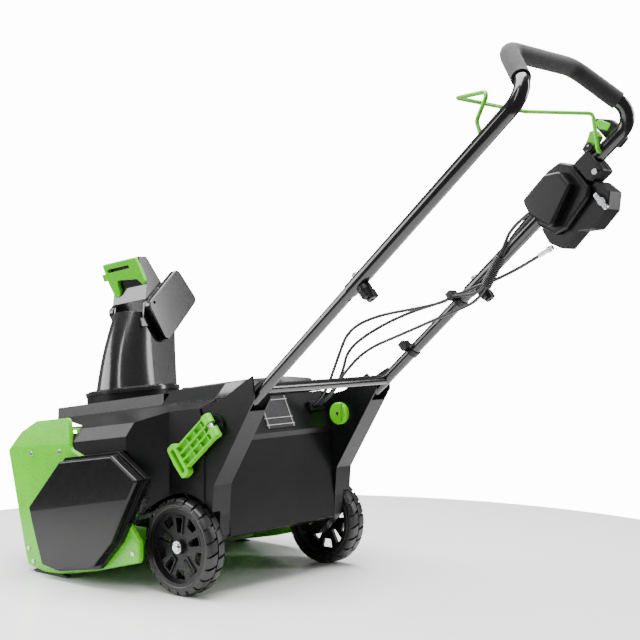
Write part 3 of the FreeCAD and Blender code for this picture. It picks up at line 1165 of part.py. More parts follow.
# ---- parts on the control box ----------------------------------------------------------------
CLAMP_FROM = 794.0
CLAMP_TO = 834.0
CLAMP_OUTLINE = [(CLAMP_FROM, 8.0), (CLAMP_TO, 8.0), (CLAMP_TO + 2, -30.0), (CLAMP_TO, -48.0),
                 (CLAMP_FROM + 8, -48.0), (CLAMP_FROM, -38.0)]
clamp = side_prism(CLAMP_OUTLINE, -222, -176, 4.0)
clamp = soften(clamp, 4.0, lambda edge: edge_at(edge, 0, -222) or edge_at(edge, 0, -176))
for x0 in (-214.0, -187.0):
    ear = side_prism([(CLAMP_TO - 10, 2.0), (PADDLE_AT + 6, 4.0), (PADDLE_AT + 6, 19.0), (CLAMP_TO - 8, 19.0)],
                     x0, x0 + 5.0, 3.0)
    clamp = clamp.fuse(ear)
clamp = clamp.cut(rod(V(-HANDLE_X, 700, TUBE_OUT), V(-HANDLE_X, 900, TUBE_OUT), UPPER_TUBE_R + 0.05))
clamp = clamp.cut(box(-HANDLE_X - 1, -HANDLE_X + 1, 780, 860, -60, TUBE_OUT))
CLAMP_SCREW = (CLAMP_TO - 14.0, -39.0)
clamp = clamp.cut(disc_x(-230, -170, CLAMP_SCREW[0], CLAMP_SCREW[1], 2.5))
clamp = clamp.cut(disc_x(-230, -170, PADDLE_AT, PADDLE_OUT, PADDLE_PIN_R))
save("control_clamp", on_handle(clamp.removeSplitter()))
bracket = bracket.cut(side_prism(inset(CLAMP_OUTLINE, -0.3), -222.3, -175, 4.0))
bracket = on_handle(max(bracket.Solids, key=lambda solid: solid.Volume)).cut(ferrule)
save("cable_bracket", bracket.removeSplitter())


def hexagon(x0, x1, y, z, across_flats):
    r = across_flats / math.sqrt(3)
    points = [(y + r * math.cos(math.radians(60 * i)), z + r * math.sin(math.radians(60 * i))) for i in range(6)]
    return side_prism(points, x0, x1)


clamp_screw = disc_x(-224, -173, CLAMP_SCREW[0], CLAMP_SCREW[1], 2.5)
clamp_screw = clamp_screw.fuse(hexagon(-176, -171, CLAMP_SCREW[0], CLAMP_SCREW[1], 11.0))
clamp_screw = clamp_screw.fuse(hexagon(-227, -222, CLAMP_SCREW[0], CLAMP_SCREW[1], 11.0))
paddle_pin = disc_x(-216, -180, PADDLE_AT, PADDLE_OUT, PADDLE_PIN_R)
handle_fasteners += [on_handle(clamp_screw.removeSplitter()), on_handle(paddle_pin)]
paddle = side_prism([(822.0, 14.0), (826.0, 22.0), (842.0, 27.0), (858.0, 36.0), (867.0, 30.0), (866.0, 13.0),
                     (848.0, 7.0), (834.0, 8.5)], -208, -188, 3.0)
paddle = soften(paddle, 2.0, lambda edge: edge_at(edge, 0, -188) or edge_at(edge, 0, -208))
paddle = paddle.cut(disc_x(-220, -170, PADDLE_AT, PADDLE_OUT, PADDLE_PIN_R + RUN_FIT))
save("start_paddle", on_handle(paddle))

wing_at = (790.0, -90.0)
wing = disc_x(BRACKET_X[1], BRACKET_X[1] + 8, wing_at[0], wing_at[1], 8.0)
wing = wing.fuse(soften(side_prism([(wing_at[0] - 5, wing_at[1] - 20), (wing_at[0] + 5, wing_at[1] - 20),
                                    (wing_at[0] + 5, wing_at[1] + 20), (wing_at[0] - 5, wing_at[1] + 20)],
                                   BRACKET_X[1] + 3, BRACKET_X[1] + 11, 4.0), 1.5,
                        lambda edge: edge_at(edge, 0, BRACKET_X[1] + 11)))
handle_fasteners.append(on_handle(wing.removeSplitter()))

lever_plate = side_prism([(862.0, 62.0), (873.0, 62.0), (897.0, 34.0), (903.0, 8.0), (896.0, -18.0), (870.0, -20.0),
                          (864.0, 10.0)], LEVER_FAR, LEVER_NEAR, 6.0)
lever_plate = soften(lever_plate, 2.5, lambda edge: edge_at(edge, 0, LEVER_NEAR) or edge_at(edge, 0, LEVER_FAR))
lever_plate = lever_plate.cut(disc_x(-250, -200, CHUTE_LEVER_AT, CHUTE_LEVER_OUT, LEVER_PIN_R + RUN_FIT))
save("chute_lever", on_handle(lever_plate))
pad = side_prism([(870.0, 54.0), (881.0, 50.0), (892.0, 25.0), (878.0, 20.0), (867.0, 37.0)],
                 LEVER_NEAR, LEVER_NEAR + 2.5, 4.0)
save("chute_lever_pad", on_handle(soften(pad, 1.5, lambda edge: edge_at(edge, 0, LEVER_NEAR + 2.5))))
stud = disc_x(LEVER_FAR - 3, -HANDLE_X - UPPER_TUBE_R + 1.2, CHUTE_LEVER_AT, CHUTE_LEVER_OUT, LEVER_PIN_R)
stud = stud.fuse(disc_x(LEVER_FAR - 5, LEVER_FAR - 0.3, CHUTE_LEVER_AT, CHUTE_LEVER_OUT, 9.0))
stud = stud.fuse(disc_x(LEVER_NEAR + 0.3, -HANDLE_X - UPPER_TUBE_R + 1.2, CHUTE_LEVER_AT, CHUTE_LEVER_OUT, 8.0))
stud = on_handle(stud.removeSplitter()).cut(sweep(upper_path, UPPER_TUBE_R))
handle_fasteners.append(stud)
save("handle_fasteners", handle_fasteners)


def bail_arm(side, points):
    return [handle_point(side * x, along, out) for x, along, out in points]


left_arm = bail_arm(1, [(HANDLE_X - 2.0, BAIL_AT, BAIL_OUT), (BAIL_X - 2, BAIL_AT, BAIL_OUT), (BAIL_X - 4, 822, 12),
                        (BAIL_X - 3, 833, 38), (183, 888, 54.7), (116.5, 806.4, 134.9)])
right_arm = bail_arm(-1, [(HANDLE_X - 2.0, BAIL_AT, BAIL_OUT), (BAIL_X - 2, BAIL_AT, BAIL_OUT),
                          (183, 888, 54.7), (116.5, 806.4, 134.9)])
bail_points = left_arm + right_arm[::-1]
bail_radii = [6.0, 10.0, 12.0, 10.0, 16.0, 16.0, 10.0, 6.0]
save("bail", sweep(rounded_path(bail_points, bail_radii), BAIL_R))
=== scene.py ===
import math
import bpy
import bmesh
from mathutils import Matrix, Vector


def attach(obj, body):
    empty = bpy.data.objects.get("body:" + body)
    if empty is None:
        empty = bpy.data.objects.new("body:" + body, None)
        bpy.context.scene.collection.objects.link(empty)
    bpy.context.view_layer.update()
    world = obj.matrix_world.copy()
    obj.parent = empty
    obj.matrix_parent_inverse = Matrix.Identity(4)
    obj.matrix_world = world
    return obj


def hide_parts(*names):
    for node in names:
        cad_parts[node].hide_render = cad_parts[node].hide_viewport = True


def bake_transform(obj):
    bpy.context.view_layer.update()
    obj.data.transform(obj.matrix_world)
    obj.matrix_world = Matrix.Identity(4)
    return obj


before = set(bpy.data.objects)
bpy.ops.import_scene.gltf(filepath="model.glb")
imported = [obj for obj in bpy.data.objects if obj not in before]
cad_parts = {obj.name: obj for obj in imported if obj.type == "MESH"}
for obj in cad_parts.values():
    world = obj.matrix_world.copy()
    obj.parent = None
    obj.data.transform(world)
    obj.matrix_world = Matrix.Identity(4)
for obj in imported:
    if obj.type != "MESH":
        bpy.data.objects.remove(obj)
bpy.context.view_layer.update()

# ---- camera -----------------------------------------------------------------------------------
# Stands behind the operator's left shoulder, level with the chute, and looks along the machine.
camera = bpy.data.objects.new("camera", bpy.data.cameras.new("camera"))
bpy.context.scene.collection.objects.link(camera)
camera.location = (2.1228, 2.3894, 0.6203)
back = Vector((0.7555, 0.6549, 0.0161))
camera.rotation_euler = (-back).to_track_quat("-Z", "Y").to_euler()
camera.data.lens = 74.07
camera.data.sensor_width = 36.0
bpy.context.scene.camera = camera


# ---- control cables --------------------------------------------------------------------------
# Three PVC-jacketed cables run from the control box down the right tube, through the clips, and
# hang free in a loop to the gland at the back of the shroud. They are extruded, smooth and satin.
CABLE_RADIUS = 0.0035
FOLD_Y, FOLD_Z = 0.464, 0.360
LEAN = math.radians(41.0)
GLAND_Y, GLAND_Z = 0.4209, 0.375
GLAND_OUT = Vector((0.0, 0.9053, 0.4247))


def handle_spot(x, along, out):
    """A place given in mm along the handle and out from its fold plane, in metres in the frame."""
    y = along * math.cos(LEAN) - out * math.sin(LEAN)
    z = along * math.sin(LEAN) + out * math.cos(LEAN)
    return Vector((x / 1000, FOLD_Y + y / 1000, FOLD_Z + z / 1000))


def cable_points(along, hanging, gland_x):
    """Route of one cable: down the handle, through the air, and straight into the gland."""
    gland = Vector((gland_x / 1000, GLAND_Y, GLAND_Z))
    points = [handle_spot(*spot) for spot in along]
    points += [Vector(spot) / 1000 for spot in hanging]
    return points + [gland + GLAND_OUT * 0.046, gland + GLAND_OUT * 0.001]


def linear(hex_colour):
    """Hex sRGB to the linear colour that a shader takes."""
    channels = [int(hex_colour[i:i + 2], 16) / 255 for i in (0, 2, 4)]
    return tuple(c / 12.92 if c < 0.04045 else ((c + 0.055) / 1.055) ** 2.4 for c in channels) + (1.0,)


def put(tree, kind, inputs=None, **settings):
    """Add a node with its settings, and give its inputs a value or another node's output."""
    node = tree.nodes.new(kind)
    for name, value in settings.items():
        setattr(node, name, value)
    for key, value in (inputs or {}).items():
        if isinstance(value, bpy.types.NodeSocket):
            tree.links.new(value, node.inputs[key])
        else:
            node.inputs[key].default_value = value
    return node


def finish_named(name):
    """A new material's tree with its Object coordinates."""
    material = bpy.data.materials.new(name)
    material.use_nodes = True
    material.node_tree.nodes.clear()
    place = put(material.node_tree, "ShaderNodeTexCoord").outputs["Object"]
    return material, material.node_tree, place


def grain(tree, place, size_mm, detail=3.0, roughness=0.55):
    """Noise whose features are about size_mm across."""
    return put(tree, "ShaderNodeTexNoise", {"Vector": place, "Scale": 1000.0 / size_mm, "Detail": detail,
                                            "Roughness": roughness}).outputs["Fac"]


def spread(tree, factor, low, high, from_low=0.3, from_high=0.7):
    """Turn a pattern into a range of values."""
    return put(tree, "ShaderNodeMapRange", {0: factor, 1: from_low, 2: from_high, 3: low, 4: high}).outputs[0]


def tint(tree, factor, first, second):
    """Blend two colours by a pattern."""
    return put(tree, "ShaderNodeMix", {0: factor, 6: linear(first), 7: linear(second)},
               data_type="RGBA").outputs[2]


def relief(tree, height, strength, depth_mm, round_mm=0.0):
    """Bump from a pattern, over edges that a mould or a coat has rounded."""
    inputs = {"Strength": strength, "Distance": depth_mm / 1000, "Height": height}
    if round_mm:
        inputs["Normal"] = put(tree, "ShaderNodeBevel", {"Radius": round_mm / 1000}, samples=4).outputs[0]
    return put(tree, "ShaderNodeBump", inputs).outputs[0]


def surface(tree, inputs):
    shader = put(tree, "ShaderNodeBsdfPrincipled", inputs)
    put(tree, "ShaderNodeOutputMaterial", {"Surface": shader.outputs[0]})


def jacket_finish():
    """Soft PVC: nearly black, satin, with handling marks that change its sheen."""
    material, tree, place = finish_named("extruded_pvc_jacket")
    marks = grain(tree, place, 7.0, detail=5.0)
    surface(tree, {"Base Color": tint(tree, spread(tree, marks, 0.0, 1.0), "111112", "1c1c1e"),
                   "Roughness": spread(tree, marks, 0.32, 0.5), "IOR": 1.52,
                   "Normal": relief(tree, grain(tree, place, 2.5), 0.15, 0.1)})
    return material


def as_piece(name, mesh, material=None):
    """Show a finished mesh as a piece at the origin."""
    mesh.name = name
    if material:
        mesh.materials.clear()
        mesh.materials.append(material)
    piece = bpy.data.objects.new(name, mesh)
    bpy.context.scene.collection.objects.link(piece)
    return piece


def evaluated(source):
    """Plain mesh of an object as its modifiers or its spline make it; the object itself goes."""
    bpy.context.view_layer.update()
    mesh = bpy.data.meshes.new_from_object(source.evaluated_get(bpy.context.evaluated_depsgraph_get()))
    bpy.data.objects.remove(source)
    return mesh


def cable(name, points, radius, material):
    curve = bpy.data.curves.new(name + "_route", "CURVE")
    curve.dimensions = "3D"
    curve.bevel_depth = radius
    curve.bevel_resolution = 4
    curve.use_fill_caps = True
    spline = curve.splines.new("NURBS")
    spline.points.add(len(points) - 1)
    for control, point in zip(spline.points, points):
        control.co = (*point, 1.0)
    spline.order_u = 3
    spline.use_endpoint_u = True
    spline.resolution_u = 10
    route = bpy.data.objects.new(name + "_route", curve)
    bpy.context.scene.collection.objects.link(route)
    piece = as_piece(name, evaluated(route), material)
    piece.data.polygons.foreach_set("use_smooth", [True] * len(piece.data.polygons))
    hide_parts(name)
    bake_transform(piece)
    return piece


cable_jacket = jacket_finish()
cable("switch_cable", cable_points(
    [(-158.2, 672, -6), (-158.2, 615, 3), (-158.2, 575, -17), (-158.2, 476, -50), (-158.2, 440, -28),
     (-172, 403, 2), (-172, 385, 2)],
    [(-160, 697, 601), (-140, 589, 583), (-118, 529, 551), (-112, 505, 490)], -112), CABLE_RADIUS, cable_jacket)
cable("trigger_cable", cable_points(
    [(-165.8, 672, -6), (-165.8, 612, -8), (-165.8, 575, -17), (-165.8, 476, -50), (-166, 440, -50),
     (-162, 400, -35)],
    [(-160, 643, 542), (-142, 560, 508), (-124, 515, 458)], -124), CABLE_RADIUS, cable_jacket)
cable("chute_cable", cable_points(
    [(-190, 622, -74), (-190, 566, -61), (-184, 499, -40), (-172, 462, -24), (-175, 430, -12),
     (-186, 403, 6), (-186, 385, 6)],
    [(-168, 650, 588), (-152, 560, 545), (-140, 508, 504), (-136, 500, 458)], -136), CABLE_RADIUS, cable_jacket)

# ---- coiled sleeve ---------------------------------------------------------------------------
# A polyethylene spiral wrap holds the two inner cables together where they leave the tube.
# It is a round strand wound on a mandrel, so it shows as a row of close glossy turns.
def coil_tree():
    tree = bpy.data.node_groups.new("spiral_wrap", "GeometryNodeTree")
    for name in ("Coil Radius", "Strand Radius", "Length", "Turns"):
        tree.interface.new_socket(name, in_out="INPUT", socket_type="NodeSocketFloat")
    tree.interface.new_socket("Finish", in_out="INPUT", socket_type="NodeSocketMaterial")
    tree.interface.new_socket("Geometry", in_out="OUTPUT", socket_type="NodeSocketGeometry")
    sizes = put(tree, "NodeGroupInput").outputs
    spiral = put(tree, "GeometryNodeCurveSpiral", {"Resolution": 24, "Rotations": sizes["Turns"],
                                                   "Start Radius": sizes["Coil Radius"],
                                                   "End Radius": sizes["Coil Radius"],
                                                   "Height": sizes["Length"]})
    strand = put(tree, "GeometryNodeCurvePrimitiveCircle", {"Resolution": 8, "Radius": sizes["Strand Radius"]})
    tube = put(tree, "GeometryNodeCurveToMesh", {"Curve": spiral.outputs[0],
                                                 "Profile Curve": strand.outputs["Curve"], "Fill Caps": True})
    real = put(tree, "GeometryNodeRealizeInstances", {"Geometry": tube.outputs[0]})
    done = put(tree, "GeometryNodeSetMaterial", {"Geometry": real.outputs[0], "Material": sizes["Finish"]})
    put(tree, "NodeGroupOutput", {"Geometry": done.outputs[0]})
    return tree


def grown(name, tree, sizes, base=None):
    """Run a Geometry Nodes tree with its named inputs set, and return the plain mesh."""
    holder = bpy.data.objects.new(name + "_holder", base or bpy.data.meshes.new(name + "_holder"))
    bpy.context.scene.collection.objects.link(holder)
    modifier = holder.modifiers.new("grow", "NODES")
    modifier.node_group = tree
    for item in tree.interface.items_tree:
        if item.item_type == "SOCKET" and item.in_out == "INPUT" and item.name in sizes:
            modifier[item.identifier] = sizes[item.name]
    return evaluated(holder)


sleeve_low = handle_spot(-162, 575 + (476 - 575) * 0.86, -17 + (-50 + 17) * 0.86)
sleeve_high = handle_spot(-162, 575 + (476 - 575) * 0.19, -17 + (-50 + 17) * 0.19)
sleeve_run = sleeve_high - sleeve_low
coil = grown("coil_sleeve", coil_tree(), {
    "Coil Radius": 0.0102, "Strand Radius": 0.0017, "Length": sleeve_run.length, "Turns": 17.0,
    "Finish": cable_jacket})
coil.transform(Matrix.Translation(sleeve_low) @ sleeve_run.to_track_quat("Z", "Y").to_matrix().to_4x4())
coil.polygons.foreach_set("use_smooth", [True] * len(coil.polygons))
coil = as_piece("coil_sleeve_wrap", coil)
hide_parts("coil_sleeve")
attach(coil, "handle")

# ---- shroud and side frames ------------------------------------------------------------------
# The shroud, rear cover, deck ring and side frames are thick polypropylene mouldings, screwed
# together. They leave the tool with a satin spark grain and have edges eased by about a millimetre.
def dress(material, *names):
    """Give nodes of the model a finish."""
    for name in names:
        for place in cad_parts[name].material_slots:
            place.material = material


def moulded(name, colour, worn, sheen, dull, grain_mm=0.9, pit_mm=0.03, easing_mm=0.9, coat=0.0, shine=0.5):
    """Moulded plastic: slow drift of tone, scuffs that dull it, fine grain and eased edges."""
    material, tree, place = finish_named(name)
    pits = put(tree, "ShaderNodeTexVoronoi", {"Vector": place, "Scale": 1000.0 / grain_mm}).outputs["Distance"]
    scuffs = grain(tree, place, 6.0, detail=6.0, roughness=0.7)
    surface(tree, {"Base Color": tint(tree, spread(tree, grain(tree, place, 70.0), 0.0, 1.0), colour, worn),
                   "Roughness": spread(tree, scuffs, sheen, dull), "IOR": 1.49,
                   "Normal": relief(tree, pits, 0.5, pit_mm, round_mm=easing_mm),
                   "Specular IOR Level": shine, "Coat Weight": coat, "Coat Roughness": 0.1})
    return material


satin_black = moulded("satin_black_polypropylene", "060606", "0c0c0d", 0.28, 0.4, pit_mm=0.015, shine=0.22)
dress(satin_black, "body_shroud", "rear_cover", "tower_left", "tower_right", "chute_collar", "handle_feet",
      "cable_gland")

# ---- side panels -----------------------------------------------------------------------------
# One green ABS panel closes each end of the chamber. The colour is in the plastic, and the panel
# has a polished face, so it takes long soft highlights; five screws hold it.
green_abs = moulded("polished_green_abs", "52b800", "49a800", 0.2, 0.34, grain_mm=1.2, pit_mm=0.008,
                    easing_mm=1.5)
dress(green_abs, "side_panel_left", "side_panel_right")

# ---- drive covers ----------------------------------------------------------------------------
# A faceted black ABS cover hides the belt, and its twin balances it on the other side. They are
# glossier than the shroud and have crisp lit edges.
cover_black = moulded("gloss_black_abs", "050505", "0a0a0b", 0.18, 0.28, pit_mm=0.004, easing_mm=1.6, shine=0.25)
dress(cover_black, "drive_cover", "side_cover_right")

# ---- auger chamber and auger -----------------------------------------------------------------
# The chamber is a bent green steel sheet with powder coat. Inside turns a steel shaft with two
# paddles of fabric-backed rubber, driven by a toothless belt from the motor's small pulley.
def powder_coat(name, colour, worn, sheen, coat=0.35, peel_mm=1.6):
    """Baked powder: even colour, a glossy skin and a faint orange peel."""
    material, tree, place = finish_named(name)
    surface(tree, {"Base Color": tint(tree, spread(tree, grain(tree, place, 25.0), 0.0, 1.0), colour, worn),
                   "Roughness": spread(tree, grain(tree, place, 9.0), sheen, sheen + 0.1), "IOR": 1.5,
                   "Normal": relief(tree, grain(tree, place, peel_mm, detail=1.0), 0.1, 0.1),
                   "Coat Weight": coat, "Coat Roughness": 0.06})
    return material


def rubber(name, colour, dusty, dull, grain_mm, weave_mm=0.0):
    """Filled rubber: dusty patches, a coarse skin, and the print of its fabric if it has one."""
    material, tree, place = finish_named(name)
    patches = grain(tree, place, 18.0, detail=5.0)
    skin = grain(tree, place, grain_mm, detail=4.0)
    if weave_mm:
        threads = put(tree, "ShaderNodeTexWave", {"Vector": place, "Scale": 500.0 / weave_mm, "Distortion": 0.6})
        skin = put(tree, "ShaderNodeMath", {0: threads.outputs["Fac"], 1: skin}, operation="ADD").outputs[0]
    surface(tree, {"Base Color": tint(tree, spread(tree, patches, 0.0, 1.0), colour, dusty),
                   "Roughness": spread(tree, patches, dull, dull + 0.15), "IOR": 1.5,
                   "Normal": relief(tree, skin, 0.5, 0.15, round_mm=0.5)})
    return material


dress(powder_coat("green_powder_coat", "4cae00", "449e00", 0.28), "auger_housing")
dress(powder_coat("black_shaft_coat", "0d0d0e", "161617", 0.35, coat=0.0), "auger_shaft")
dress(rubber("fabric_backed_rubber", "121212", "1d1c1b", 0.55, 1.4, weave_mm=2.4), "auger_paddles", "drive_belt")

# ---- motor, pulleys and bushes ---------------------------------------------------------------
# The motor has a zinc-plated can and shaft, the driven pulley is turned aluminium, and the auger
# runs in sintered bronze bushes. Behind them sits the controller in its black case.
def plated(name, bright, dark, sheen, mottle_mm=3.0):
    """Bare or plated metal: bright, with small dull patches."""
    material, tree, place = finish_named(name)
    patches = spread(tree, grain(tree, place, mottle_mm, detail=5.0), 0.0, 1.0, 0.4, 0.7)
    surface(tree, {"Base Color": tint(tree, patches, bright, dark), "Metallic": 1.0,
                   "Roughness": spread(tree, patches, sheen, sheen + 0.2, 0.0, 1.0),
                   "Normal": relief(tree, patches, 0.05, 0.05, round_mm=0.4)})
    return material


zinc = plated("bright_zinc_plate", "d4d6d9", "a4a8ad", 0.18)
dress(zinc, "motor", "motor_rotor")
dress(plated("turned_aluminium", "c9ccd0", "a6aaaf", 0.24, mottle_mm=1.2), "auger_pulley")
dress(plated("sintered_bronze", "a57d4a", "76552f", 0.4, mottle_mm=0.8), "auger_bearings")
dress(moulded("potted_controller_case", "101012", "18181a", 0.45, 0.6), "motor_controller")

# ---- scraper and skids -----------------------------------------------------------------------
# The replaceable scraper bar is off-white high-density polyethylene, waxy and scratched along its
# ground edge; black strips of the same plastic wrap the corners of the panels.
dress(moulded("waxy_offwhite_polyethylene", "d9d9d1", "c3c2b6", 0.38, 0.55, grain_mm=2.0, pit_mm=0.05),
      "scraper_bar")
dress(moulded("black_polyethylene", "101011", "1b1b1c", 0.45, 0.6, grain_mm=2.0, pit_mm=0.05), "skid_strips")

# ---- tyres -----------------------------------------------------------------------------------
# A solid rubber tyre is moulded with two staggered rows of curved blocks that wrap onto its
# shoulders. It is dull on the side wall and polished on the worn tops of the blocks.
TYRE_RADIUS = 0.1015
SEAT_RADIUS = 0.0820
CARCASS = [(-23.0, 82.0), (-24.0, 84.5), (-23.0, 86.0), (-23.8, 91.0), (-19.0, 95.0), (-8.0, 96.0),
           (8.0, 96.0), (19.0, 95.0), (23.8, 91.0), (23.0, 86.0), (24.0, 84.5), (23.0, 82.0)]
BLOCK = [(1.5, 94.0), (1.5, 101.5), (14.5, 101.5), (20.0, 99.5), (23.4, 95.0), (24.0, 89.5), (21.0, 89.0),
         (18.0, 94.0)]
BLOCKS_ROUND = 22
WHEELS = {"wheel_left": ("tyre_left", 0.2275), "wheel_right": ("tyre_right", -0.2275)}
AXLE = (0.370, 0.1015)


def ring_mesh(name, outline, angles, closed, skew=0.0):
    """Sweep an (x, radius) outline in mm round the X axis through the angles."""
    shape = bmesh.new()
    rings = []
    for angle in angles:
        ring = []
        for x, radius in outline:
            turn = angle + skew * x / 1000
            ring.append(shape.verts.new((x / 1000, radius / 1000 * math.sin(turn), radius / 1000 * math.cos(turn))))
        rings.append(ring)
    pairs = list(zip(rings, rings[1:] + rings[:1])) if closed else list(zip(rings, rings[1:]))
    for first, second in pairs:
        for i in range(len(outline)):
            shape.faces.new((first[i - 1], first[i], second[i], second[i - 1]))
    if not closed:
        shape.faces.new(rings[0])
        shape.faces.new(rings[-1][::-1])
    bmesh.ops.recalc_face_normals(shape, faces=shape.faces)
    mesh = bpy.data.meshes.new(name)
    shape.to_mesh(mesh)
    shape.free()
    return mesh


def tread_tree():
    """Copies of one block round the wheel, in a row on each side, joined and made real."""
    tree = bpy.data.node_groups.new("tread_blocks", "GeometryNodeTree")
    tree.interface.new_socket("Block", in_out="INPUT", socket_type="NodeSocketGeometry")
    tree.interface.new_socket("Blocks Round", in_out="INPUT", socket_type="NodeSocketInt")
    tree.interface.new_socket("Stagger", in_out="INPUT", socket_type="NodeSocketFloat")
    tree.interface.new_socket("Finish", in_out="INPUT", socket_type="NodeSocketMaterial")
    tree.interface.new_socket("Geometry", in_out="OUTPUT", socket_type="NodeSocketGeometry")
    sizes = put(tree, "NodeGroupInput").outputs
    index = put(tree, "GeometryNodeInputIndex").outputs[0]
    step = put(tree, "ShaderNodeMath", {0: math.tau, 1: sizes["Blocks Round"]}, operation="DIVIDE").outputs[0]
    rows = put(tree, "GeometryNodeJoinGeometry")
    for facing, shift in ((0.0, 0.0), (math.pi, 1.0)):
        late = put(tree, "ShaderNodeMath", {0: sizes["Stagger"], 1: shift}, operation="MULTIPLY").outputs[0]
        place = put(tree, "ShaderNodeMath", {0: index, 1: late}, operation="ADD").outputs[0]
        angle = put(tree, "ShaderNodeMath", {0: place, 1: step}, operation="MULTIPLY").outputs[0]
        turn = put(tree, "ShaderNodeCombineXYZ", {"X": angle}).outputs[0]
        flipped = put(tree, "GeometryNodeTransform", {"Geometry": sizes["Block"], "Rotation": (0.0, 0.0, facing)})
        points = put(tree, "GeometryNodeMeshLine", {"Count": sizes["Blocks Round"], "Offset": (0.0, 0.0, 0.0)})
        row = put(tree, "GeometryNodeInstanceOnPoints", {"Points": points.outputs[0],
                                                         "Instance": flipped.outputs[0], "Rotation": turn})
        tree.links.new(row.outputs[0], rows.inputs[0])
    real = put(tree, "GeometryNodeRealizeInstances", {"Geometry": rows.outputs[0]})
    done = put(tree, "GeometryNodeSetMaterial", {"Geometry": real.outputs[0], "Material": sizes["Finish"]})
    put(tree, "NodeGroupOutput", {"Geometry": done.outputs[0]})
    return tree


def joined(name, meshes):
    """One mesh out of several."""
    shape = bmesh.new()
    for mesh in meshes:
        shape.from_mesh(mesh)
    mesh = bpy.data.meshes.new(name)
    shape.to_mesh(mesh)
    shape.free()
    return mesh


def smooth(mesh, degrees):
    """Shade smooth across edges softer than an angle."""
    mesh.polygons.foreach_set("use_smooth", [True] * len(mesh.polygons))
    mesh.set_sharp_from_angle(angle=math.radians(degrees))


tread_rubber = rubber("moulded_tread_rubber", "0a0a0a", "121211", 0.34, 1.2)
block_half = 11.0 / 96.0
block_mesh = ring_mesh("block", BLOCK, [-block_half, 0.0, block_half], False, skew=4.0)
blocks = grown("tread", tread_tree(), {"Blocks Round": BLOCKS_ROUND, "Stagger": 0.5, "Finish": tread_rubber},
               base=block_mesh)
carcass = ring_mesh("carcass", CARCASS, [math.tau * i / 120 for i in range(120)], True)
for body, (node, x) in WHEELS.items():
    mesh = joined(node + "_rubber", [carcass, blocks])
    mesh.transform(Matrix.Translation((x, AXLE[0], AXLE[1])))
    smooth(mesh, 35.0)
    tyre = as_piece(node + "_rubber", mesh, tread_rubber)
    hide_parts(node)
    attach(tyre, body)

# ---- wheel rims ------------------------------------------------------------------------------
# Each rim is one glass-filled nylon moulding with framed windows. The filler leaves it a dull
# grey-black with a coarser grain than the shroud.
dress(moulded("glass_filled_nylon", "0a0a0b", "111112", 0.32, 0.46, grain_mm=1.1, pit_mm=0.03, shine=0.3),
      "wheel_rim_left", "wheel_rim_right")

# ---- chute and hood --------------------------------------------------------------------------
# The turning chute and its tilting hood are blow-moulded polyethylene with a polished face that
# sheds snow. The green grip and trigger on the hood are ABS.
chute_black = moulded("polished_black_polyethylene", "060606", "0c0c0d", 0.16, 0.26, grain_mm=1.5, pit_mm=0.004,
                      easing_mm=1.5, coat=0.5)
dress(chute_black, "chute", "deflector")
dress(green_abs, "deflector_grip", "deflector_trigger")

# ---- battery bay -----------------------------------------------------------------------------
# A domed lid in polished ABS closes over the battery and snaps shut with a sliding latch. The
# battery has a grained black case.
dress(moulded("polished_black_lid", "060607", "0c0c0d", 0.12, 0.22, pit_mm=0.004, easing_mm=1.5, coat=0.4),
      "battery_lid")
dress(moulded("grained_battery_case", "131315", "1c1c1f", 0.42, 0.6, grain_mm=1.6, pit_mm=0.06), "battery_pack",
      "lid_latch")

# ---- handle tubes ----------------------------------------------------------------------------
# Welded steel tubes with a gloss black powder coat. The upper U slides between the lower pair and
# is clamped to it with two through bolts and black wing knobs.
dress(powder_coat("gloss_black_powder_coat", "040404", "080808", 0.13, coat=0.3), "lower_handle",
      "upper_handle")

# ---- foam grip -------------------------------------------------------------------------------
# A closed-cell foam sleeve is blown onto the crossbar of the handle. It is matte, a little uneven
# along its length, and its skin is full of fine open pores.
GRIP_CORNER = Vector((0.115, 1.093, 1.065))
UPPER_BEND = handle_spot(198, 948, -11)
FOAM_PAST_BEND = 0.046


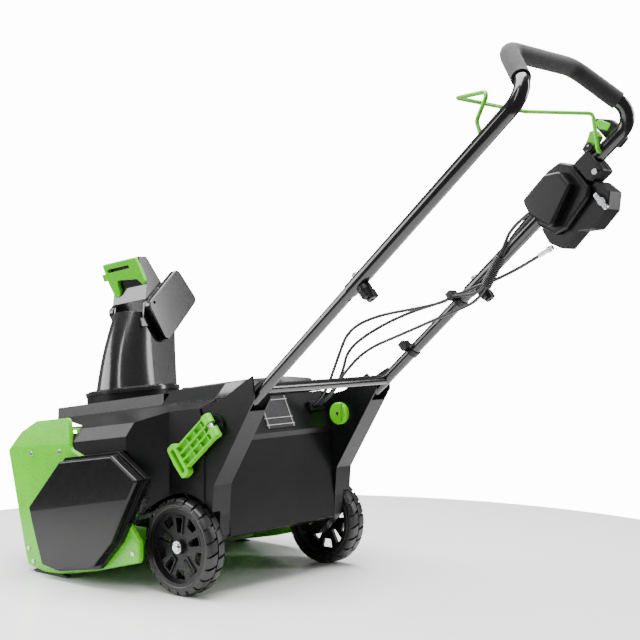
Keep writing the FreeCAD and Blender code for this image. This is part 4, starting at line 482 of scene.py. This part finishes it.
def foam_tree():
    tree = bpy.data.node_groups.new("foam_sleeve", "GeometryNodeTree")
    tree.interface.new_socket("Path", in_out="INPUT", socket_type="NodeSocketGeometry")
    for name in ("Sleeve Radius", "Bend Radius", "Unevenness"):
        tree.interface.new_socket(name, in_out="INPUT", socket_type="NodeSocketFloat")
    tree.interface.new_socket("Finish", in_out="INPUT", socket_type="NodeSocketMaterial")
    tree.interface.new_socket("Geometry", in_out="OUTPUT", socket_type="NodeSocketGeometry")
    sizes = put(tree, "NodeGroupInput").outputs
    bent = put(tree, "GeometryNodeFilletCurve", {"Curve": sizes["Path"], "Radius": sizes["Bend Radius"],
                                                 "Count": 14}, mode="POLY")
    even = put(tree, "GeometryNodeResampleCurve", {"Curve": bent.outputs[0], "Length": 0.003}, mode="LENGTH")
    ring = put(tree, "GeometryNodeCurvePrimitiveCircle", {"Resolution": 40, "Radius": sizes["Sleeve Radius"]})
    sleeve = put(tree, "GeometryNodeCurveToMesh", {"Curve": even.outputs[0], "Profile Curve": ring.outputs["Curve"],
                                                   "Fill Caps": True})
    lumps = put(tree, "ShaderNodeTexNoise", {"Scale": 45.0, "Detail": 2.0}).outputs["Fac"]
    inward = put(tree, "ShaderNodeMath", {0: lumps, 1: 0.9}, operation="SUBTRACT").outputs[0]
    amount = put(tree, "ShaderNodeMath", {0: inward, 1: sizes["Unevenness"]}, operation="MULTIPLY").outputs[0]
    normal = put(tree, "GeometryNodeInputNormal").outputs[0]
    push = put(tree, "ShaderNodeVectorMath", {0: normal, "Scale": amount}, operation="SCALE").outputs[0]
    soft = put(tree, "GeometryNodeSetPosition", {"Geometry": sleeve.outputs[0], "Offset": push})
    real = put(tree, "GeometryNodeRealizeInstances", {"Geometry": soft.outputs[0]})
    done = put(tree, "GeometryNodeSetMaterial", {"Geometry": real.outputs[0], "Material": sizes["Finish"]})
    put(tree, "NodeGroupOutput", {"Geometry": done.outputs[0]})
    return tree


def foam_finish():
    """Nitrile foam: matte black, cells of about a millimetre drawn a little coarse so they show."""
    material, tree, place = finish_named("nitrile_foam")
    cells = put(tree, "ShaderNodeTexVoronoi", {"Vector": place, "Scale": 700.0}).outputs["Distance"]
    handled = grain(tree, place, 22.0, detail=4.0)
    surface(tree, {"Base Color": tint(tree, spread(tree, handled, 0.0, 1.0), "101011", "171718"),
                   "Roughness": spread(tree, handled, 0.78, 0.92), "IOR": 1.45,
                   "Normal": relief(tree, cells, 0.7, 0.35), "Sheen Weight": 0.15, "Sheen Roughness": 0.5})
    return material


foam_end = UPPER_BEND + (GRIP_CORNER - UPPER_BEND).normalized() * FOAM_PAST_BEND
foam_route = [foam_end, GRIP_CORNER, GRIP_CORNER * Vector((-1, 1, 1)), foam_end * Vector((-1, 1, 1))]
foam_curve = bpy.data.curves.new("foam_route", "CURVE")
foam_curve.dimensions = "3D"
foam_line = foam_curve.splines.new("POLY")
foam_line.points.add(len(foam_route) - 1)
for control, point in zip(foam_line.points, foam_route):
    control.co = (*point, 1.0)
foam = foam_finish()
foam_mesh = grown("foam", foam_tree(), {"Sleeve Radius": 0.0185, "Bend Radius": 0.050, "Unevenness": 0.0008,
                                        "Finish": foam}, base=foam_curve)
smooth(foam_mesh, 60.0)
grip = as_piece("foam_grip_sleeve", foam_mesh)
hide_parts("foam_grip")
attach(grip, "handle")

# ---- levers and knobs ------------------------------------------------------------------------
# Green ribbed cam levers clamp the side frames, with green dial nuts inside; black wing knobs
# clamp the tubes. All are glass-filled nylon, a little duller than the panels.
green_nylon = moulded("green_glass_filled_nylon", "5cc206", "52b400", 0.3, 0.42, pit_mm=0.02, easing_mm=0.6)
dress(green_nylon, "clamp_lever_left", "clamp_lever_right", "clamp_nuts", "start_paddle", "chute_lever_pad")
black_nylon = moulded("black_glass_filled_nylon", "080809", "0f0f10", 0.26, 0.42, grain_mm=1.1, pit_mm=0.02,
                      easing_mm=1.2, shine=0.3)
dress(black_nylon, "wing_knob_left", "wing_knob_right", "chute_lever", "cable_clips")

# ---- control box and bail --------------------------------------------------------------------
# The switch box is two black nylon halves round the tube, with a round-edged pod and a bracket
# below. The bail is a bent steel wire with a green powder coat.
dress(black_nylon, "control_box_outer", "control_box_inner", "switch_pod", "control_clamp", "cable_bracket")
dress(powder_coat("green_wire_coat", "5cc206", "52b400", 0.25), "bail")

# ---- bolts, screws and ferrule ---------------------------------------------------------------
# All fasteners are zinc-plated steel: self-tapping screws round the panels, shoulder bolts in the
# wheels, through bolts in the tubes and the crimped ferrule of the chute cable.
dress(zinc, "housing_screws", "chassis_bolts", "handle_fasteners", "cable_ferrule")

# ---- rating plate ----------------------------------------------------------------------------
# A printed polyester label with a pale ruled frame on black, left blank.
def label_finish():
    material, tree, place = finish_named("blank_polyester_label")
    axes = put(tree, "ShaderNodeSeparateXYZ", {0: place}).outputs
    across = put(tree, "ShaderNodeMath", {0: axes["X"]}, operation="ABSOLUTE").outputs[0]
    side = put(tree, "ShaderNodeMath", {0: across, 1: 0.0395, 2: 0.0008}, operation="COMPARE").outputs[0]
    lines = side
    for height in (0.346, 0.360, 0.398):
        rule = put(tree, "ShaderNodeMath", {0: axes["Z"], 1: height, 2: 0.0007}, operation="COMPARE").outputs[0]
        lines = put(tree, "ShaderNodeMath", {0: lines, 1: rule}, operation="MAXIMUM").outputs[0]
    ink = put(tree, "ShaderNodeMath", {0: lines, 1: spread(tree, grain(tree, place, 1.0), 0.75, 1.0)},
              operation="MULTIPLY").outputs[0]
    surface(tree, {"Base Color": tint(tree, ink, "1a1a1c", "a8a8a6"),
                   "Roughness": spread(tree, grain(tree, place, 5.0), 0.25, 0.4), "IOR": 1.5})
    return material


dress(label_finish(), "rating_plate")

# ---- floor and studio light ------------------------------------------------------------------
# The object stands on a round glossy white table in a white surround. A large overhead box, a wide
# card at the front left and strips beside the handle give the broad soft highlights.
def floor_finish():
    material, tree, place = finish_named("polished_white_floor")
    surface(tree, {"Base Color": linear("f4f4f3"), "Roughness": 0.16, "IOR": 1.45})
    return material


FLOOR_CENTRE = (0.0, 0.42)
FLOOR_RADIUS = 1.28
rim = [(FLOOR_CENTRE[0] + FLOOR_RADIUS * math.cos(math.tau * i / 256),
        FLOOR_CENTRE[1] + FLOOR_RADIUS * math.sin(math.tau * i / 256), 0.0) for i in range(256)]
floor_mesh = bpy.data.meshes.new("floor")
floor_mesh.from_pydata(rim, [], [tuple(range(256))])
floor = as_piece("floor", floor_mesh, floor_finish())

world = bpy.data.worlds.new("white_surround")
bpy.context.scene.world = world
world.use_nodes = True
world.node_tree.nodes.clear()
seen = put(world.node_tree, "ShaderNodeLightPath").outputs["Is Camera Ray"]
glow = put(world.node_tree, "ShaderNodeMapRange", {0: seen, 3: 0.3, 4: 14.0}).outputs[0]
light = put(world.node_tree, "ShaderNodeBackground", {"Color": (1.0, 1.0, 1.0, 1.0), "Strength": glow})
put(world.node_tree, "ShaderNodeOutputWorld", {"Surface": light.outputs[0]})


def softbox(name, spot, target, width, height, power):
    """Rectangular area light that points at a target."""
    lamp = bpy.data.lights.new(name, "AREA")
    lamp.shape = "RECTANGLE"
    lamp.size = width
    lamp.size_y = height
    lamp.energy = power
    holder = bpy.data.objects.new(name, lamp)
    bpy.context.scene.collection.objects.link(holder)
    holder.location = spot
    holder.rotation_euler = (Vector(target) - Vector(spot)).to_track_quat("-Z", "Y").to_euler()


softbox("overhead", (0.0, 0.2, 3.0), (0.0, 0.3, 0.0), 3.0, 3.0, 420.0)
softbox("front_card", (1.8, -1.6, 1.15), (0.0, -0.05, 0.6), 2.2, 1.3, 75.0)
softbox("rear_strip", (-1.9, 2.4, 1.5), (0.0, 0.8, 0.7), 0.5, 2.0, 40.0)
softbox("left_strip", (2.6, 1.4, 2.4), (0.0, 0.6, 0.5), 0.3, 1.8, 24.0)
